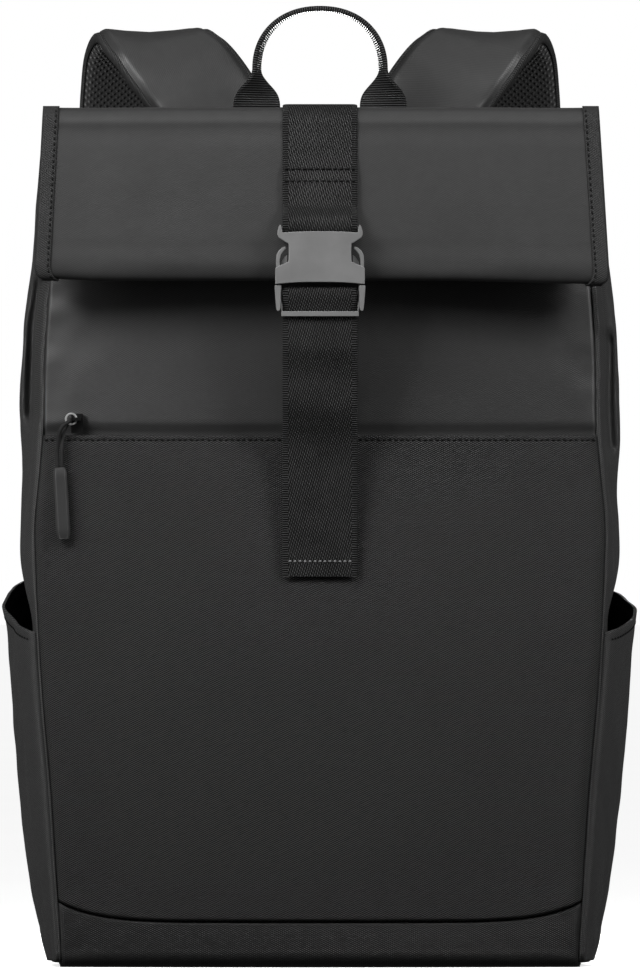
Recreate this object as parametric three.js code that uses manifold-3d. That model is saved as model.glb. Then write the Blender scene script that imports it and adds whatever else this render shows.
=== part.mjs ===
// Rolltop backpack, standing on its base.
// Millimetres. +X to the right of someone facing the bag, +Y towards the wearer's back, +Z up.
// The origin is the middle of the base, on the floor.
import * as THREE from 'three';
import { mergeVertices } from 'three/addons/utils/BufferGeometryUtils.js';
import Module from 'manifold-3d';

const wasm = await Module();
wasm.setup();

// Driving dimensions

// Clearance between neighbouring pieces.
const GAP = 0.3;

// The bag's body.
const BAG_HEIGHT = 430;
const BODY_WIDTH = 298.6;
const BODY_DEPTH = 123;
const CLOTH = 2;
const BACK_PAD = 12;
const FRONT_CROWN = 11;
const BASE_ROUND = 9;
const BASE_SEAM_HEIGHT = 23;
const BASE_SEAM_RISE = 10;
const BASE_SEAM_POWER = 7;
const BASE_BEND_ROWS = 4;
const BASE_BEND_INSET = 1.4;

// The front pocket and its hidden zip.
const POCKET_TOP = 266.5;
const POCKET_CLOTH = 1.6;
const POCKET_FULLNESS = 4;
const ZIP_WIDTH = 12;
const ZIP_THICKNESS = 1.2;
const ZIP_BELOW_EDGE = 2.5;
const ZIP_END_MARGIN = 8;

// The side pockets.
const SIDE_POCKET_CLOTH = 1.6;
const SIDE_POCKET_BULGE = 12.6;
const SIDE_POCKET_FOOT = 3;
const SIDE_POCKET_START = 20;
const SIDE_POCKET_MOUTH_FRONT = 168;
const SIDE_POCKET_MOUTH_BACK = 193.5;
const SIDE_POCKET_SWELL_POWER = 0.8;

// The rolled mouth.
const ROLL_CLOTH = 3;
const ROLL_TOP_INSET = 10.3;
const ROLL_FOOT_INSET = 4.6;
const ROLL_DROP = 86.5;
const ROLL_CORNER = 9;
const ROLL_HEM = 8.5;
const ROLL_OVERHANG_TOP = 4.5;
const ROLL_OVERHANG_FOOT = 18.5;
const ROLL_REAR_MARGIN = 1.5;
const ROLL_INNER_DROP = 22;
const ROLL_INNER_BACKSET = 11.5;
const ROLL_CURL = 3.6;
const ROLL_CURL_DROP = 40;
const BINDING_WIDTH = 8.3;
const BINDING_THICKNESS = 1;

// The webbing down the middle.
const WEBBING_WIDTH = 38;
const WEBBING_THICKNESS = 1.5;
const UPPER_STRAP_REAR_MARGIN = 13.5;
const UPPER_STRAP_TURN_BACK = 22.6;
const UPPER_STRAP_STEP = 11;
const TAIL_LENGTH = 129.75;
const TAIL_STANDOFF = 1.6;
const ANCHOR_ABOVE_POCKET = 7.5;
const ANCHOR_SEWN_LENGTH = 8;

// The side-release buckle.
const BUCKLE_SIDE = 3.6;
const BUCKLE_THICKNESS = 10;
const HOUSING_FOOT_DROP = 88;
const HOUSING_HEIGHT = 24;
const BUCKLE_BAR_RADIUS = 1.3;
const BUCKLE_BAR_RISE = 3.4;
const BUCKLE_CLEARANCE = 0.5;
const BUCKLE_WALL = 2.6;
const BUCKLE_NECK_INSET = 6.6;
const TONGUE_HALF_WIDTH = 8;
const EAR_WIDTH = 2;
const FRAME_THICKNESS = 7;
const FRAME_LENGTH = 16.2;
const FRAME_LEG = 3.1;
const FRAME_FOOT_BAR = 2.6;

// The zip pull.
const PULL_FROM_SEAM = 15;
const PULL_RING_RADIUS = 2.7;
const PULL_WIRE_RADIUS = 0.5;
const PULL_CORD_DIAMETER = 2;
const PULL_SLEEVE_LENGTH = 36;
const PULL_SLEEVE_WIDTH = 7;
const PULL_SLEEVE_THICKNESS = 5;
const PULL_SLEEVE_DROP = 16;
const PULL_SLEEVE_SWING = 5.7;
const PULL_SLEEVE_LEAN = 2;
const PULL_RISE = 8;
const PULL_LUG_WIDTH = 6;

// The grab handle.
const HANDLE_WIDTH = 23.7;
const HANDLE_THICKNESS = 2.6;
const HANDLE_SPAN = 63.8;
const HANDLE_WAIST_RISE = 21;
const HANDLE_RISE = 53;
const HANDLE_BACKSET = 17.5;

// The shoulder straps.
const STRAP_WIDTH = 54;
const STRAP_PADDING = 12;
const STRAP_RISE = 39.5;
const STRAP_REACH = 52;
const STRAP_ATTACH_DROP = 32;
const STRAP_PAD_END = 172;
const LOWER_WEBBING_WIDTH = 25;
const LOWER_WEBBING_FOOT = 40;
const LOWER_WEBBING_INSET = 37;
const ADJUSTER_LENGTH = 26;
const ADJUSTER_WIDTH = 34;
const ADJUSTER_THICKNESS = 4;
const ADJUSTER_BAR = 3;

// Sizes that follow from the ones above
const HALF_WIDTH = BODY_WIDTH / 2;
const BACK_Y = BODY_DEPTH / 2;
const WALL_HEIGHT = BAG_HEIGHT - ROLL_CLOTH - GAP;
const WALL_FOOT = CLOTH + GAP;
const ROLL_FOOT_HEIGHT = BAG_HEIGHT - ROLL_DROP;
const ROLL_REAR = BACK_Y - ROLL_REAR_MARGIN;
const ROLL_FRONT_TOP = BACK_Y + ROLL_OVERHANG_TOP;
const ROLL_FRONT_FOOT = BACK_Y + ROLL_OVERHANG_FOOT;
const ROLL_INNER_HEIGHT = BAG_HEIGHT - ROLL_INNER_DROP;
const ROLL_INNER_REACH = BACK_Y - ROLL_INNER_BACKSET;
const HOUSING_FOOT_HEIGHT = BAG_HEIGHT - HOUSING_FOOT_DROP;
const BUCKLE_WIDTH = WEBBING_WIDTH + 2 * BUCKLE_SIDE;
const HANDLE_WAIST = BAG_HEIGHT + HANDLE_WAIST_RISE;
const HANDLE_TOP = BAG_HEIGHT + HANDLE_RISE;
const HANDLE_Y = BACK_Y - HANDLE_BACKSET;
const STRAP_TOP = BAG_HEIGHT + STRAP_RISE;
const STRAP_ATTACH_HEIGHT = BAG_HEIGHT - STRAP_ATTACH_DROP;
const LOWER_WEBBING_ACROSS = HALF_WIDTH - LOWER_WEBBING_INSET;
const ANCHOR_HEIGHT = POCKET_TOP + ANCHOR_ABOVE_POCKET;
const PULL_SLEEVE_TOP = POCKET_TOP - PULL_SLEEVE_DROP;
const HALF_WEBBING = WEBBING_THICKNESS / 2;
const POCKET_LIFT = ZIP_THICKNESS + GAP;

// The body's sections, foot to top, as shares of the wall's height, the body's half width (front
// seam, then widest side) and its depth (how far the front stands out from the middle plane).
const BODY_SECTIONS = [
  { rise: 0.0, seam: 0.874, side: 0.9, front: 0.45 },
  { rise: 0.03, seam: 0.877, side: 0.926, front: 0.465 },
  { rise: 0.06, seam: 0.881, side: 0.936, front: 0.474 },
  { rise: 0.105, seam: 0.889, side: 0.948, front: 0.482 },
  { rise: 0.2, seam: 0.906, side: 0.958, front: 0.496 },
  { rise: 0.33, seam: 0.938, side: 0.962, front: 0.5 },
  { rise: 0.42, seam: 0.953, side: 0.97, front: 0.498 },
  { rise: 0.47, seam: 0.958, side: 0.994, front: 0.494 },
  { rise: 0.52, seam: 0.961, side: 0.998, front: 0.488 },
  { rise: 0.57, seam: 0.948, side: 1.0, front: 0.481 },
  { rise: 0.625, seam: 0.934, side: 1.0, front: 0.472 },
  { rise: 0.695, seam: 0.931, side: 0.996, front: 0.452 },
  { rise: 0.735, seam: 0.927, side: 0.991, front: 0.44 },
  { rise: 0.805, seam: 0.914, side: 0.966, front: 0.42 },
  { rise: 0.9, seam: 0.904, side: 0.942, front: 0.375 },
  { rise: 1.0, seam: 0.898, side: 0.92, front: 0.33 },
];

// Pinched folds in the side walls: height and reach as shares of the wall's height, place and
// spread as shares of the wall's depth, and how far each is pressed in, as a share of the crown.
const GUSSET_FOLDS = [
  { side: -1, rise: 0.69, reach: 0.11, place: 0.2, spread: 0.1, press: 0.55 },
  { side: -1, rise: 0.3, reach: 0.12, place: 0.75, spread: 0.12, press: 0.35 },
  { side: 1, rise: 0.68, reach: 0.13, place: 0.19, spread: 0.1, press: 0.5 },
  { side: 1, rise: 0.33, reach: 0.12, place: 0.72, spread: 0.12, press: 0.35 },
];

// Materials
const cloth = { color: 0x3a3a3c, roughness: 0.62, metalness: 0 };
const binding = { color: 0x29292b, roughness: 0.8, metalness: 0 };
const webbing = { color: 0x1f1f21, roughness: 0.75, metalness: 0 };
const mesh = { color: 0x161617, roughness: 0.95, metalness: 0 };
const plastic = { color: 0x4d4e50, roughness: 0.45, metalness: 0.1 };
const rubber = { color: 0x2d2d2f, roughness: 0.6, metalness: 0 };
const steel = { color: 0xa9abae, roughness: 0.3, metalness: 1 };

const bag = new THREE.Group();

function place(name, geometry, look) {
  const piece = new THREE.Mesh(geometry, new THREE.MeshStandardMaterial(look));
  piece.name = name;
  bag.add(piece);
  return piece;
}

// Small helpers

function lerp(a, b, share) {
  return a + (b - a) * share;
}

function smooth(share) {
  const held = Math.min(1, Math.max(0, share));
  return held * held * (3 - 2 * held);
}

// A column of the section table at a height, straight between its rows.
function sectionValue(z, column) {
  const rise = Math.min(1, Math.max(0, z / WALL_HEIGHT));
  let row = 0;
  while (row < BODY_SECTIONS.length - 2 && BODY_SECTIONS[row + 1].rise < rise) row += 1;
  const low = BODY_SECTIONS[row];
  const high = BODY_SECTIONS[row + 1];
  return lerp(low[column], high[column], (rise - low.rise) / (high.rise - low.rise));
}

// A closed geometry from a list of points and of triangles, turned so its faces point out.
function closedGeometry(points, triangles) {
  let volume = 0;
  for (const [a, b, c] of triangles) {
    volume += points[a].dot(points[b].clone().cross(points[c]));
  }
  const order = volume > 0 ? [0, 1, 2] : [0, 2, 1];
  const geometry = new THREE.BufferGeometry();
  const positions = points.flatMap((point) => [point.x, point.y, point.z]);
  geometry.setAttribute('position', new THREE.Float32BufferAttribute(positions, 3));
  geometry.setIndex(triangles.flatMap((corners) => order.map((k) => corners[k])));
  return geometry;
}

// A wall between two faces, each given as a function of a column and a row number.
function wall(columns, rows, faceAt, backAt) {
  const points = [];
  const triangles = [];
  for (const at of [faceAt, backAt]) {
    for (let row = 0; row <= rows; row += 1) {
      for (let column = 0; column <= columns; column += 1) points.push(at(column, row));
    }
  }
  const sheet = (columns + 1) * (rows + 1);
  const index = (column, row, layer) => layer * sheet + row * (columns + 1) + column;
  const quad = (a, b, c, d) => triangles.push([a, b, c], [a, c, d]);
  for (let row = 0; row < rows; row += 1) {
    for (let column = 0; column < columns; column += 1) {
      quad(
        index(column, row, 0), index(column + 1, row, 0),
        index(column + 1, row + 1, 0), index(column, row + 1, 0),
      );
      quad(
        index(column, row, 1), index(column, row + 1, 1),
        index(column + 1, row + 1, 1), index(column + 1, row, 1),
      );
    }
  }
  for (let column = 0; column < columns; column += 1) {
    quad(index(column, 0, 0), index(column, 0, 1), index(column + 1, 0, 1), index(column + 1, 0, 0));
    quad(index(column, rows, 0), index(column + 1, rows, 0), index(column + 1, rows, 1), index(column, rows, 1));
  }
  for (let row = 0; row < rows; row += 1) {
    quad(index(0, row, 0), index(0, row + 1, 0), index(0, row + 1, 1), index(0, row, 1));
    quad(index(columns, row, 0), index(columns, row, 1), index(columns, row + 1, 1), index(columns, row + 1, 0));
  }
  return closedGeometry(points, triangles);
}

// A bar swept through stations. Each station has a point and the direction of the bar's width;
// the outline is a ring of [share of half width, share of half thickness].
function sweep(stations, outline, width, thickness) {
  const points = [];
  const triangles = [];
  const ring = outline.length;
  stations.forEach((station, k) => {
    const before = stations[Math.max(0, k - 1)].point;
    const after = stations[Math.min(stations.length - 1, k + 1)].point;
    const along = after.clone().sub(before).normalize();
    const across = station.across.clone();
    across.addScaledVector(along, -across.dot(along)).normalize();
    const out = along.clone().cross(across);
    for (const [a, b] of outline) {
      const point = station.point.clone();
      point.addScaledVector(across, a * width / 2).addScaledVector(out, b * thickness / 2);
      points.push(point);
    }
  });
  const last = (stations.length - 1) * ring;
  for (let k = 0; k < stations.length - 1; k += 1) {
    for (let corner = 0; corner < ring; corner += 1) {
      const next = (corner + 1) % ring;
      const base = k * ring;
      triangles.push([base + corner, base + next, base + ring + next]);
      triangles.push([base + corner, base + ring + next, base + ring + corner]);
    }
  }
  for (let corner = 1; corner < ring - 1; corner += 1) {
    triangles.push([0, corner + 1, corner]);
    triangles.push([last, last + corner, last + corner + 1]);
  }
  return closedGeometry(points, triangles);
}

const FLAT_OUTLINE = [[-1, -1], [1, -1], [1, 1], [-1, 1]];
const PADDED_OUTLINE = [
  [-1, 0], [-0.94, -0.7], [-0.8, -1], [0.8, -1], [0.94, -0.7],
  [1, 0], [0.94, 0.7], [0.8, 1], [-0.8, 1], [-0.94, 0.7],
];

const BEVELLED_OUTLINE = [
  [-1, 0.5], [-1, -0.5], [-0.65, -1], [0.65, -1], [1, -0.5], [1, 0.5], [0.65, 1], [-0.65, 1],
];
const ROUND_OUTLINE = [[-1, 0], [-0.5, -0.87], [0.5, -0.87], [1, 0], [0.5, 0.87], [-0.5, 0.87]];

// A ribbon of even width whose middle line runs through [y, z] points, centred on a given X.
function ribbon(path, thickness, width) {
  const sides = [[], []];
  path.forEach((point, k) => {
    const before = path[Math.max(0, k - 1)];
    const after = path[Math.min(path.length - 1, k + 1)];
    const enter = new THREE.Vector2(point[0] - before[0], point[1] - before[1]);
    const leave = new THREE.Vector2(after[0] - point[0], after[1] - point[1]);
    if (k === 0) enter.copy(leave);
    if (k === path.length - 1) leave.copy(enter);
    enter.normalize();
    leave.normalize();
    const along = enter.clone().add(leave).normalize();
    const reach = (thickness / 2) / Math.max(0.5, along.dot(enter));
    sides[0].push(new THREE.Vector2(point[0] - along.y * reach, point[1] + along.x * reach));
    sides[1].push(new THREE.Vector2(point[0] + along.y * reach, point[1] - along.x * reach));
  });
  return extrudeAcross([...sides[0], ...sides[1].reverse()], width);
}

// An outline in the YZ plane, extruded evenly to both sides of X = 0.
function extrudeAcross(outline, width) {
  const shape = new THREE.Shape(outline);
  const geometry = new THREE.ExtrudeGeometry(shape, { depth: width, bevelEnabled: false });
  geometry.translate(0, 0, -width / 2);
  const turn = new THREE.Matrix4().makeBasis(
    new THREE.Vector3(0, 1, 0), new THREE.Vector3(0, 0, 1), new THREE.Vector3(1, 0, 0),
  );
  return geometry.applyMatrix4(turn);
}

// An outline in the XZ plane, extruded from a front Y to a back Y.
function extrudeBack(outline, front, back) {
  const shape = new THREE.Shape(outline.map(([x, z]) => new THREE.Vector2(x, z)));
  const geometry = new THREE.ExtrudeGeometry(shape, { depth: back - front, bevelEnabled: false });
  const turn = new THREE.Matrix4().makeBasis(
    new THREE.Vector3(1, 0, 0), new THREE.Vector3(0, 0, 1), new THREE.Vector3(0, -1, 0),
  );
  return geometry.applyMatrix4(turn).translate(0, back, 0);
}

function box(x0, x1, y0, y1, z0, z1) {
  const geometry = new THREE.BoxGeometry(x1 - x0, y1 - y0, z1 - z0);
  return geometry.translate((x0 + x1) / 2, (y0 + y1) / 2, (z0 + z1) / 2);
}

function toSolid(geometry) {
  const bare = geometry.clone();
  bare.deleteAttribute('normal');
  bare.deleteAttribute('uv');
  const merged = mergeVertices(bare, 1e-4);
  return new wasm.Manifold(new wasm.Mesh({
    numProp: 3,
    vertProperties: new Float32Array(merged.attributes.position.array),
    triVerts: new Uint32Array(merged.index.array),
  }));
}

function fromSolid(solid) {
  const result = solid.getMesh();
  const geometry = new THREE.BufferGeometry();
  const positions = [];
  for (let k = 0; k < result.vertProperties.length; k += result.numProp) {
    positions.push(...result.vertProperties.slice(k, k + 3));
  }
  geometry.setAttribute('position', new THREE.Float32BufferAttribute(positions, 3));
  geometry.setIndex([...result.triVerts]);
  return geometry;
}

// Points on an arc in the YZ plane, from one angle to another, in degrees from +Y towards +Z.
function arc(y, z, radius, from, to, steps) {
  const points = [];
  for (let k = 0; k <= steps; k += 1) {
    const angle = THREE.MathUtils.degToRad(lerp(from, to, k / steps));
    points.push([y + radius * Math.cos(angle), z + radius * Math.sin(angle)]);
  }
  return points;
}

// The body's surfaces

function seamHalf(z) {
  return HALF_WIDTH * sectionValue(z, 'seam');
}

// Where the front wall's middle line stands, with the rounding above the floor.
function frontY(z) {
  const flat = -BODY_DEPTH * sectionValue(Math.max(z, BASE_ROUND), 'front');
  const below = Math.max(0, BASE_ROUND - z);
  return flat + BASE_ROUND - Math.sqrt(BASE_ROUND ** 2 - below ** 2);
}

function seamY(z) {
  return frontY(z) + FRONT_CROWN;
}

function frontSurface(share, z, half) {
  return new THREE.Vector3(share * half, frontY(z) + FRONT_CROWN * share * share, z);
}

// The side wall's half width at a height, from the front seam (0) to the back seam (1).
function sideHalf(z, share, side) {
  const seam = seamHalf(z);
  const bulge = HALF_WIDTH * sectionValue(z, 'side') - seam;
  let half = seam + bulge * Math.sin(Math.PI * Math.min(share, 0.5)) ** 0.8;
  half -= Math.max(0, share - 0.5) * bulge * 0.6;
  for (const fold of GUSSET_FOLDS) {
    if (fold.side !== side) continue;
    const up = (z / WALL_HEIGHT - fold.rise) / fold.reach;
    const along = (share - fold.place) / fold.spread;
    half -= fold.press * FRONT_CROWN * Math.exp(-up * up - along * along);
  }
  return half;
}

function backHalf(z) {
  return sideHalf(z, 1, 0);
}

// The table's own heights between two others, so neighbouring walls bend at the same places.
function levels(from, to) {
  const between = BODY_SECTIONS.map((row) => row.rise * WALL_HEIGHT);
  return [from, ...between.filter((z) => z > from + GAP && z < to - GAP), to];
}

// Heights on the rounding above the floor, where the base's bend has its rows.
function bendHeights(bend) {
  const heights = [];
  for (let k = bend; k > 0; k -= 1) {
    heights.push(BASE_ROUND * (1 - Math.sin((Math.PI / 2) * (k / bend))));
  }
  return heights.filter((z) => z > WALL_FOOT + GAP);
}

function baseSeam(share) {
  return BASE_SEAM_HEIGHT + BASE_SEAM_RISE * Math.abs(share) ** BASE_SEAM_POWER;
}

function frontPanel() {
  const columns = 12;
  const heights = levels(BASE_SEAM_HEIGHT + BASE_SEAM_RISE + GAP, WALL_HEIGHT);
  const at = (inset, depth) => (column, row) => {
    const share = lerp(-1, 1, column / columns);
    const z = row === 0 ? baseSeam(share) + GAP : heights[row];
    const point = frontSurface(share, z, seamHalf(z) - GAP - inset);
    point.y += depth;
    return point;
  };
  const rows = heights.length - 1;
  place('front_panel', wall(columns, rows, at(0, 0), at(CLOTH, CLOTH)), cloth);
}

// The base wraps up the front to a curved seam, and runs flat to the back.
function basePanel() {
  const columns = 12;
  const bend = BASE_BEND_ROWS;
  const flat = 5;
  const highest = BASE_SEAM_HEIGHT + BASE_SEAM_RISE;
  const down = levels(BASE_ROUND, highest).reverse().map((z) => (highest - z) / (highest - BASE_ROUND));
  const climb = down.length - 1;
  const at = (depth) => (column, row) => {
    const share = lerp(-1, 1, column / columns);
    if (row <= climb) {
      const z = lerp(baseSeam(share), BASE_ROUND, down[row]);
      const point = frontSurface(share, z, seamHalf(z) - 2 * GAP - depth);
      point.y += depth;
      return point;
    }
    const start = frontY(BASE_ROUND) + FRONT_CROWN * share * share + BASE_ROUND;
    if (row <= climb + bend) {
      const turn = (Math.PI / 2) * ((row - climb) / bend);
      const radius = BASE_ROUND - depth;
      const half = seamHalf(BASE_ROUND * (1 - Math.sin(turn))) - BASE_BEND_INSET - depth;
      return new THREE.Vector3(
        share * half, start - radius * Math.cos(turn), BASE_ROUND - radius * Math.sin(turn),
      );
    }
    const part = (row - climb - bend) / flat;
    const y = lerp(start, BACK_Y, part);
    const along = (y - seamY(WALL_FOOT)) / (BACK_Y - seamY(WALL_FOOT));
    return new THREE.Vector3(share * sideHalf(WALL_FOOT, along, 0), y, depth);
  };
  place('base_panel', wall(columns, climb + bend + flat, at(0), at(CLOTH)), cloth);
}

function sideGusset(name, side) {
  const columns = 10;
  const heights = [WALL_FOOT, ...bendHeights(BASE_BEND_ROWS), ...levels(BASE_ROUND, WALL_HEIGHT)];
  const rows = heights.length - 1;
  const at = (inset, frontStep, backStep) => (column, row) => {
    const share = column / columns;
    const z = heights[row];
    const y = lerp(seamY(z) + frontStep, BACK_Y - backStep, share);
    return new THREE.Vector3(side * (sideHalf(z, share, side) - inset), y, z);
  };
  place(name, wall(columns, rows, at(0, 0, 0), at(CLOTH, CLOTH, BACK_PAD)), cloth);
}

// The pocket's mouth climbs from the front seam to the back seam.
function sidePocket(name, side) {
  const columns = 10;
  const top = SIDE_POCKET_MOUTH_FRONT - SIDE_POCKET_START;
  const heights = [SIDE_POCKET_FOOT, ...bendHeights(BASE_BEND_ROWS), ...levels(BASE_ROUND, top)];
  const rows = heights.length + 1;
  const at = (thickness) => (column, row) => {
    const share = column / columns;
    const mouth = lerp(SIDE_POCKET_MOUTH_FRONT, SIDE_POCKET_MOUTH_BACK, share);
    const z = heights[row] ?? lerp(top, mouth, (row - heights.length + 1) / 2);
    const middle = lerp(SIDE_POCKET_MOUTH_FRONT, SIDE_POCKET_MOUTH_BACK, 0.5);
    const climb = Math.max(0, (z - SIDE_POCKET_START) / (middle - SIDE_POCKET_START));
    const swell = Math.min(1, climb) ** SIDE_POCKET_SWELL_POWER;
    const bulge = SIDE_POCKET_BULGE * swell * Math.sin(Math.PI * share) ** 0.7;
    const half = sideHalf(z, share, side) + GAP + bulge + thickness;
    return new THREE.Vector3(side * half, lerp(seamY(z), BACK_Y, share), z);
  };
  place(name, wall(columns, rows, at(SIDE_POCKET_CLOTH), at(0)), cloth);
}

// How far the front pocket's cloth stands off the wall behind it.
function pocketStandoff(share, rise) {
  const full = POCKET_FULLNESS * Math.sin(Math.PI * rise) * (1 - share * share);
  return GAP + POCKET_LIFT * smooth(rise * 1.1) + full;
}

function frontPocketPanel() {
  const columns = 12;
  const heights = levels(BASE_SEAM_HEIGHT + BASE_SEAM_RISE + GAP, POCKET_TOP);
  const rows = heights.length - 1;
  const at = (thickness) => (column, row) => {
    const share = lerp(-1, 1, column / columns);
    const z = row === 0 ? baseSeam(share) + GAP : heights[row];
    const rise = (z - BASE_SEAM_HEIGHT) / (POCKET_TOP - BASE_SEAM_HEIGHT);
    const point = frontSurface(share, z, seamHalf(z) - GAP);
    point.y -= pocketStandoff(share, rise) + thickness;
    return point;
  };
  place('front_pocket_panel', wall(columns, rows, at(POCKET_CLOTH), at(0)), cloth);
}

// The zip lies flat on the wall behind the pocket's top edge.
function zipTape() {
  const columns = 12;
  const top = POCKET_TOP - ZIP_BELOW_EDGE;
  const at = (thickness) => (column, row) => {
    const z = lerp(top - ZIP_WIDTH, top, row);
    const seam = seamHalf(z);
    const share = lerp(-1, 1, column / columns) * (1 - ZIP_END_MARGIN / seam);
    const point = frontSurface(share, z, seam - GAP);
    point.y -= GAP + thickness;
    return point;
  };
  place('zip_tape', wall(columns, 1, at(ZIP_THICKNESS), at(0)), webbing);
}

function backPanel() {
  const columns = 8;
  const heights = levels(WALL_FOOT, WALL_HEIGHT);
  const rows = heights.length - 1;
  const at = (inset, depth) => (column, row) => {
    const share = lerp(-1, 1, column / columns);
    const z = heights[row];
    return new THREE.Vector3(share * (backHalf(z) - GAP - inset), BACK_Y - depth, z);
  };
  place('back_panel', wall(columns, rows, at(0, 0), at(CLOTH, BACK_PAD)), mesh);
}

// The rolled mouth

function rollHalf(z) {
  return HALF_WIDTH - lerp(ROLL_TOP_INSET, ROLL_FOOT_INSET, (BAG_HEIGHT - z) / ROLL_DROP);
}

// Where the roll's front face stands at a height.
function rollFaceY(z) {
  const top = BAG_HEIGHT - ROLL_CORNER;
  const foot = ROLL_FOOT_HEIGHT + ROLL_HEM;
  return lerp(-ROLL_FRONT_FOOT, -ROLL_FRONT_TOP, (z - foot) / (top - foot));
}

// The roll's section, back seam to rolled-in hem, moved out from the roll's own face.
function rollPath(out) {
  const hemTop = ROLL_FOOT_HEIGHT + ROLL_HEM;
  const legFoot = -ROLL_FRONT_FOOT + 2 * ROLL_HEM;
  const corner = arc(
    -ROLL_FRONT_TOP + ROLL_CORNER, BAG_HEIGHT - ROLL_CORNER, ROLL_CORNER + out, 90, 180, 4,
  );
  const hem = arc(-ROLL_FRONT_FOOT + ROLL_HEM, hemTop, ROLL_HEM + out, 180, 360, 8);
  const curl = arc(
    -ROLL_INNER_REACH - ROLL_CURL, ROLL_INNER_HEIGHT, ROLL_CURL + out, 0, 180, 6,
  );
  const curlFoot = [legFoot - ROLL_CLOTH - ROLL_CURL - out, hemTop + ROLL_CURL_DROP / 4];
  const middle = [(-ROLL_FRONT_TOP - ROLL_FRONT_FOOT) / 2 - out, rollMiddle()];
  const top = [
    [ROLL_REAR, BAG_HEIGHT + out],
    [ROLL_REAR / 3, BAG_HEIGHT + out],
    [-ROLL_REAR / 3, BAG_HEIGHT + out],
  ];
  return { top, corner, middle, hem, curl, curlFoot };
}

function rollMiddle() {
  return (BAG_HEIGHT - ROLL_CORNER + ROLL_FOOT_HEIGHT + ROLL_HEM) / 2;
}

function rollTop() {
  const columns = 6;
  const outer = rollPath(0);
  const inner = rollPath(-ROLL_CLOTH);
  const list = (path) => [...path.top, ...path.corner, path.middle, ...path.hem, ...path.curl, path.curlFoot];
  const faces = [list(outer), list(inner)];
  const at = (face) => (column, row) => {
    const [y, z] = faces[face][row];
    return new THREE.Vector3(lerp(-1, 1, column / columns) * rollHalf(faces[0][row][1]), y, z);
  };
  place('roll_top', wall(columns, faces[0].length - 1, at(0), at(1)), cloth);
}

// A stitched strip down each end of the roll's face and round its foot.
function rollBinding(name, side) {
  const layer = (out) => {
    const path = rollPath(out);
    return [...path.corner.slice(1), path.middle, ...path.hem.slice(0, 6)];
  };
  const faces = [layer(GAP + BINDING_THICKNESS), layer(GAP)];
  const at = (face) => (column, row) => {
    const [y, z] = faces[face][row];
    const half = rollHalf(z) - BINDING_WIDTH * (1 - column);
    return new THREE.Vector3(side * half, y, z);
  };
  place(name, wall(1, faces[0].length - 1, at(0), at(1)), binding);
}

// The webbing and the buckle

// Places that the webbing and the buckle share.
const HOUSING_TOP = HOUSING_FOOT_HEIGHT + HOUSING_HEIGHT;
const UPPER_BAR_Z = HOUSING_TOP + BUCKLE_BAR_RISE;
const LOOP_RADIUS = BUCKLE_BAR_RADIUS + GAP + HALF_WEBBING;
const BUCKLE_BACK = rollFaceY(ROLL_FOOT_HEIGHT + ROLL_HEM) - BUCKLE_CLEARANCE;
const BUCKLE_MIDDLE = BUCKLE_BACK - BUCKLE_THICKNESS / 2;
const UPPER_BAR_Y = BUCKLE_BACK - BUCKLE_BAR_RADIUS;
const FRAME_TOP = HOUSING_FOOT_HEIGHT - GAP;
const FRAME_FOOT = FRAME_TOP - FRAME_LENGTH;
const FRAME_BACK = BUCKLE_MIDDLE + FRAME_THICKNESS / 2;
const LOWER_BAR_Z = FRAME_TOP - LOOP_RADIUS - HALF_WEBBING - 1.3;
const LOWER_BAR_Y = BUCKLE_MIDDLE - 0.2;
const TAIL_END_HEIGHT = FRAME_FOOT - TAIL_LENGTH;

function strapUpper() {
  const off = GAP + HALF_WEBBING;
  const stitch = UPPER_BAR_Z + UPPER_STRAP_TURN_BACK;
  const step = UPPER_STRAP_STEP;
  const lift = WEBBING_THICKNESS + GAP;
  const path = rollPath(off);
  const points = [
    [BACK_Y - UPPER_STRAP_REAR_MARGIN, BAG_HEIGHT + off],
    ...path.corner,
    [rollFaceY(stitch + step) - off, stitch + step],
    [rollFaceY(stitch) - off - lift, stitch + lift],
    [rollFaceY(stitch - step) - off - lift, stitch - step],
    [UPPER_BAR_Y - LOOP_RADIUS, UPPER_BAR_Z + 2 * LOOP_RADIUS],
    ...arc(UPPER_BAR_Y, UPPER_BAR_Z, LOOP_RADIUS, 180, 360, 8),
    [UPPER_BAR_Y + LOOP_RADIUS, UPPER_BAR_Z + LOOP_RADIUS],
    [rollFaceY(stitch - step) - off, stitch - step],
    [rollFaceY(stitch) - off, stitch],
  ];
  place('strap_upper', ribbon(points, WEBBING_THICKNESS, WEBBING_WIDTH - 2 * GAP), webbing);
}

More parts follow.
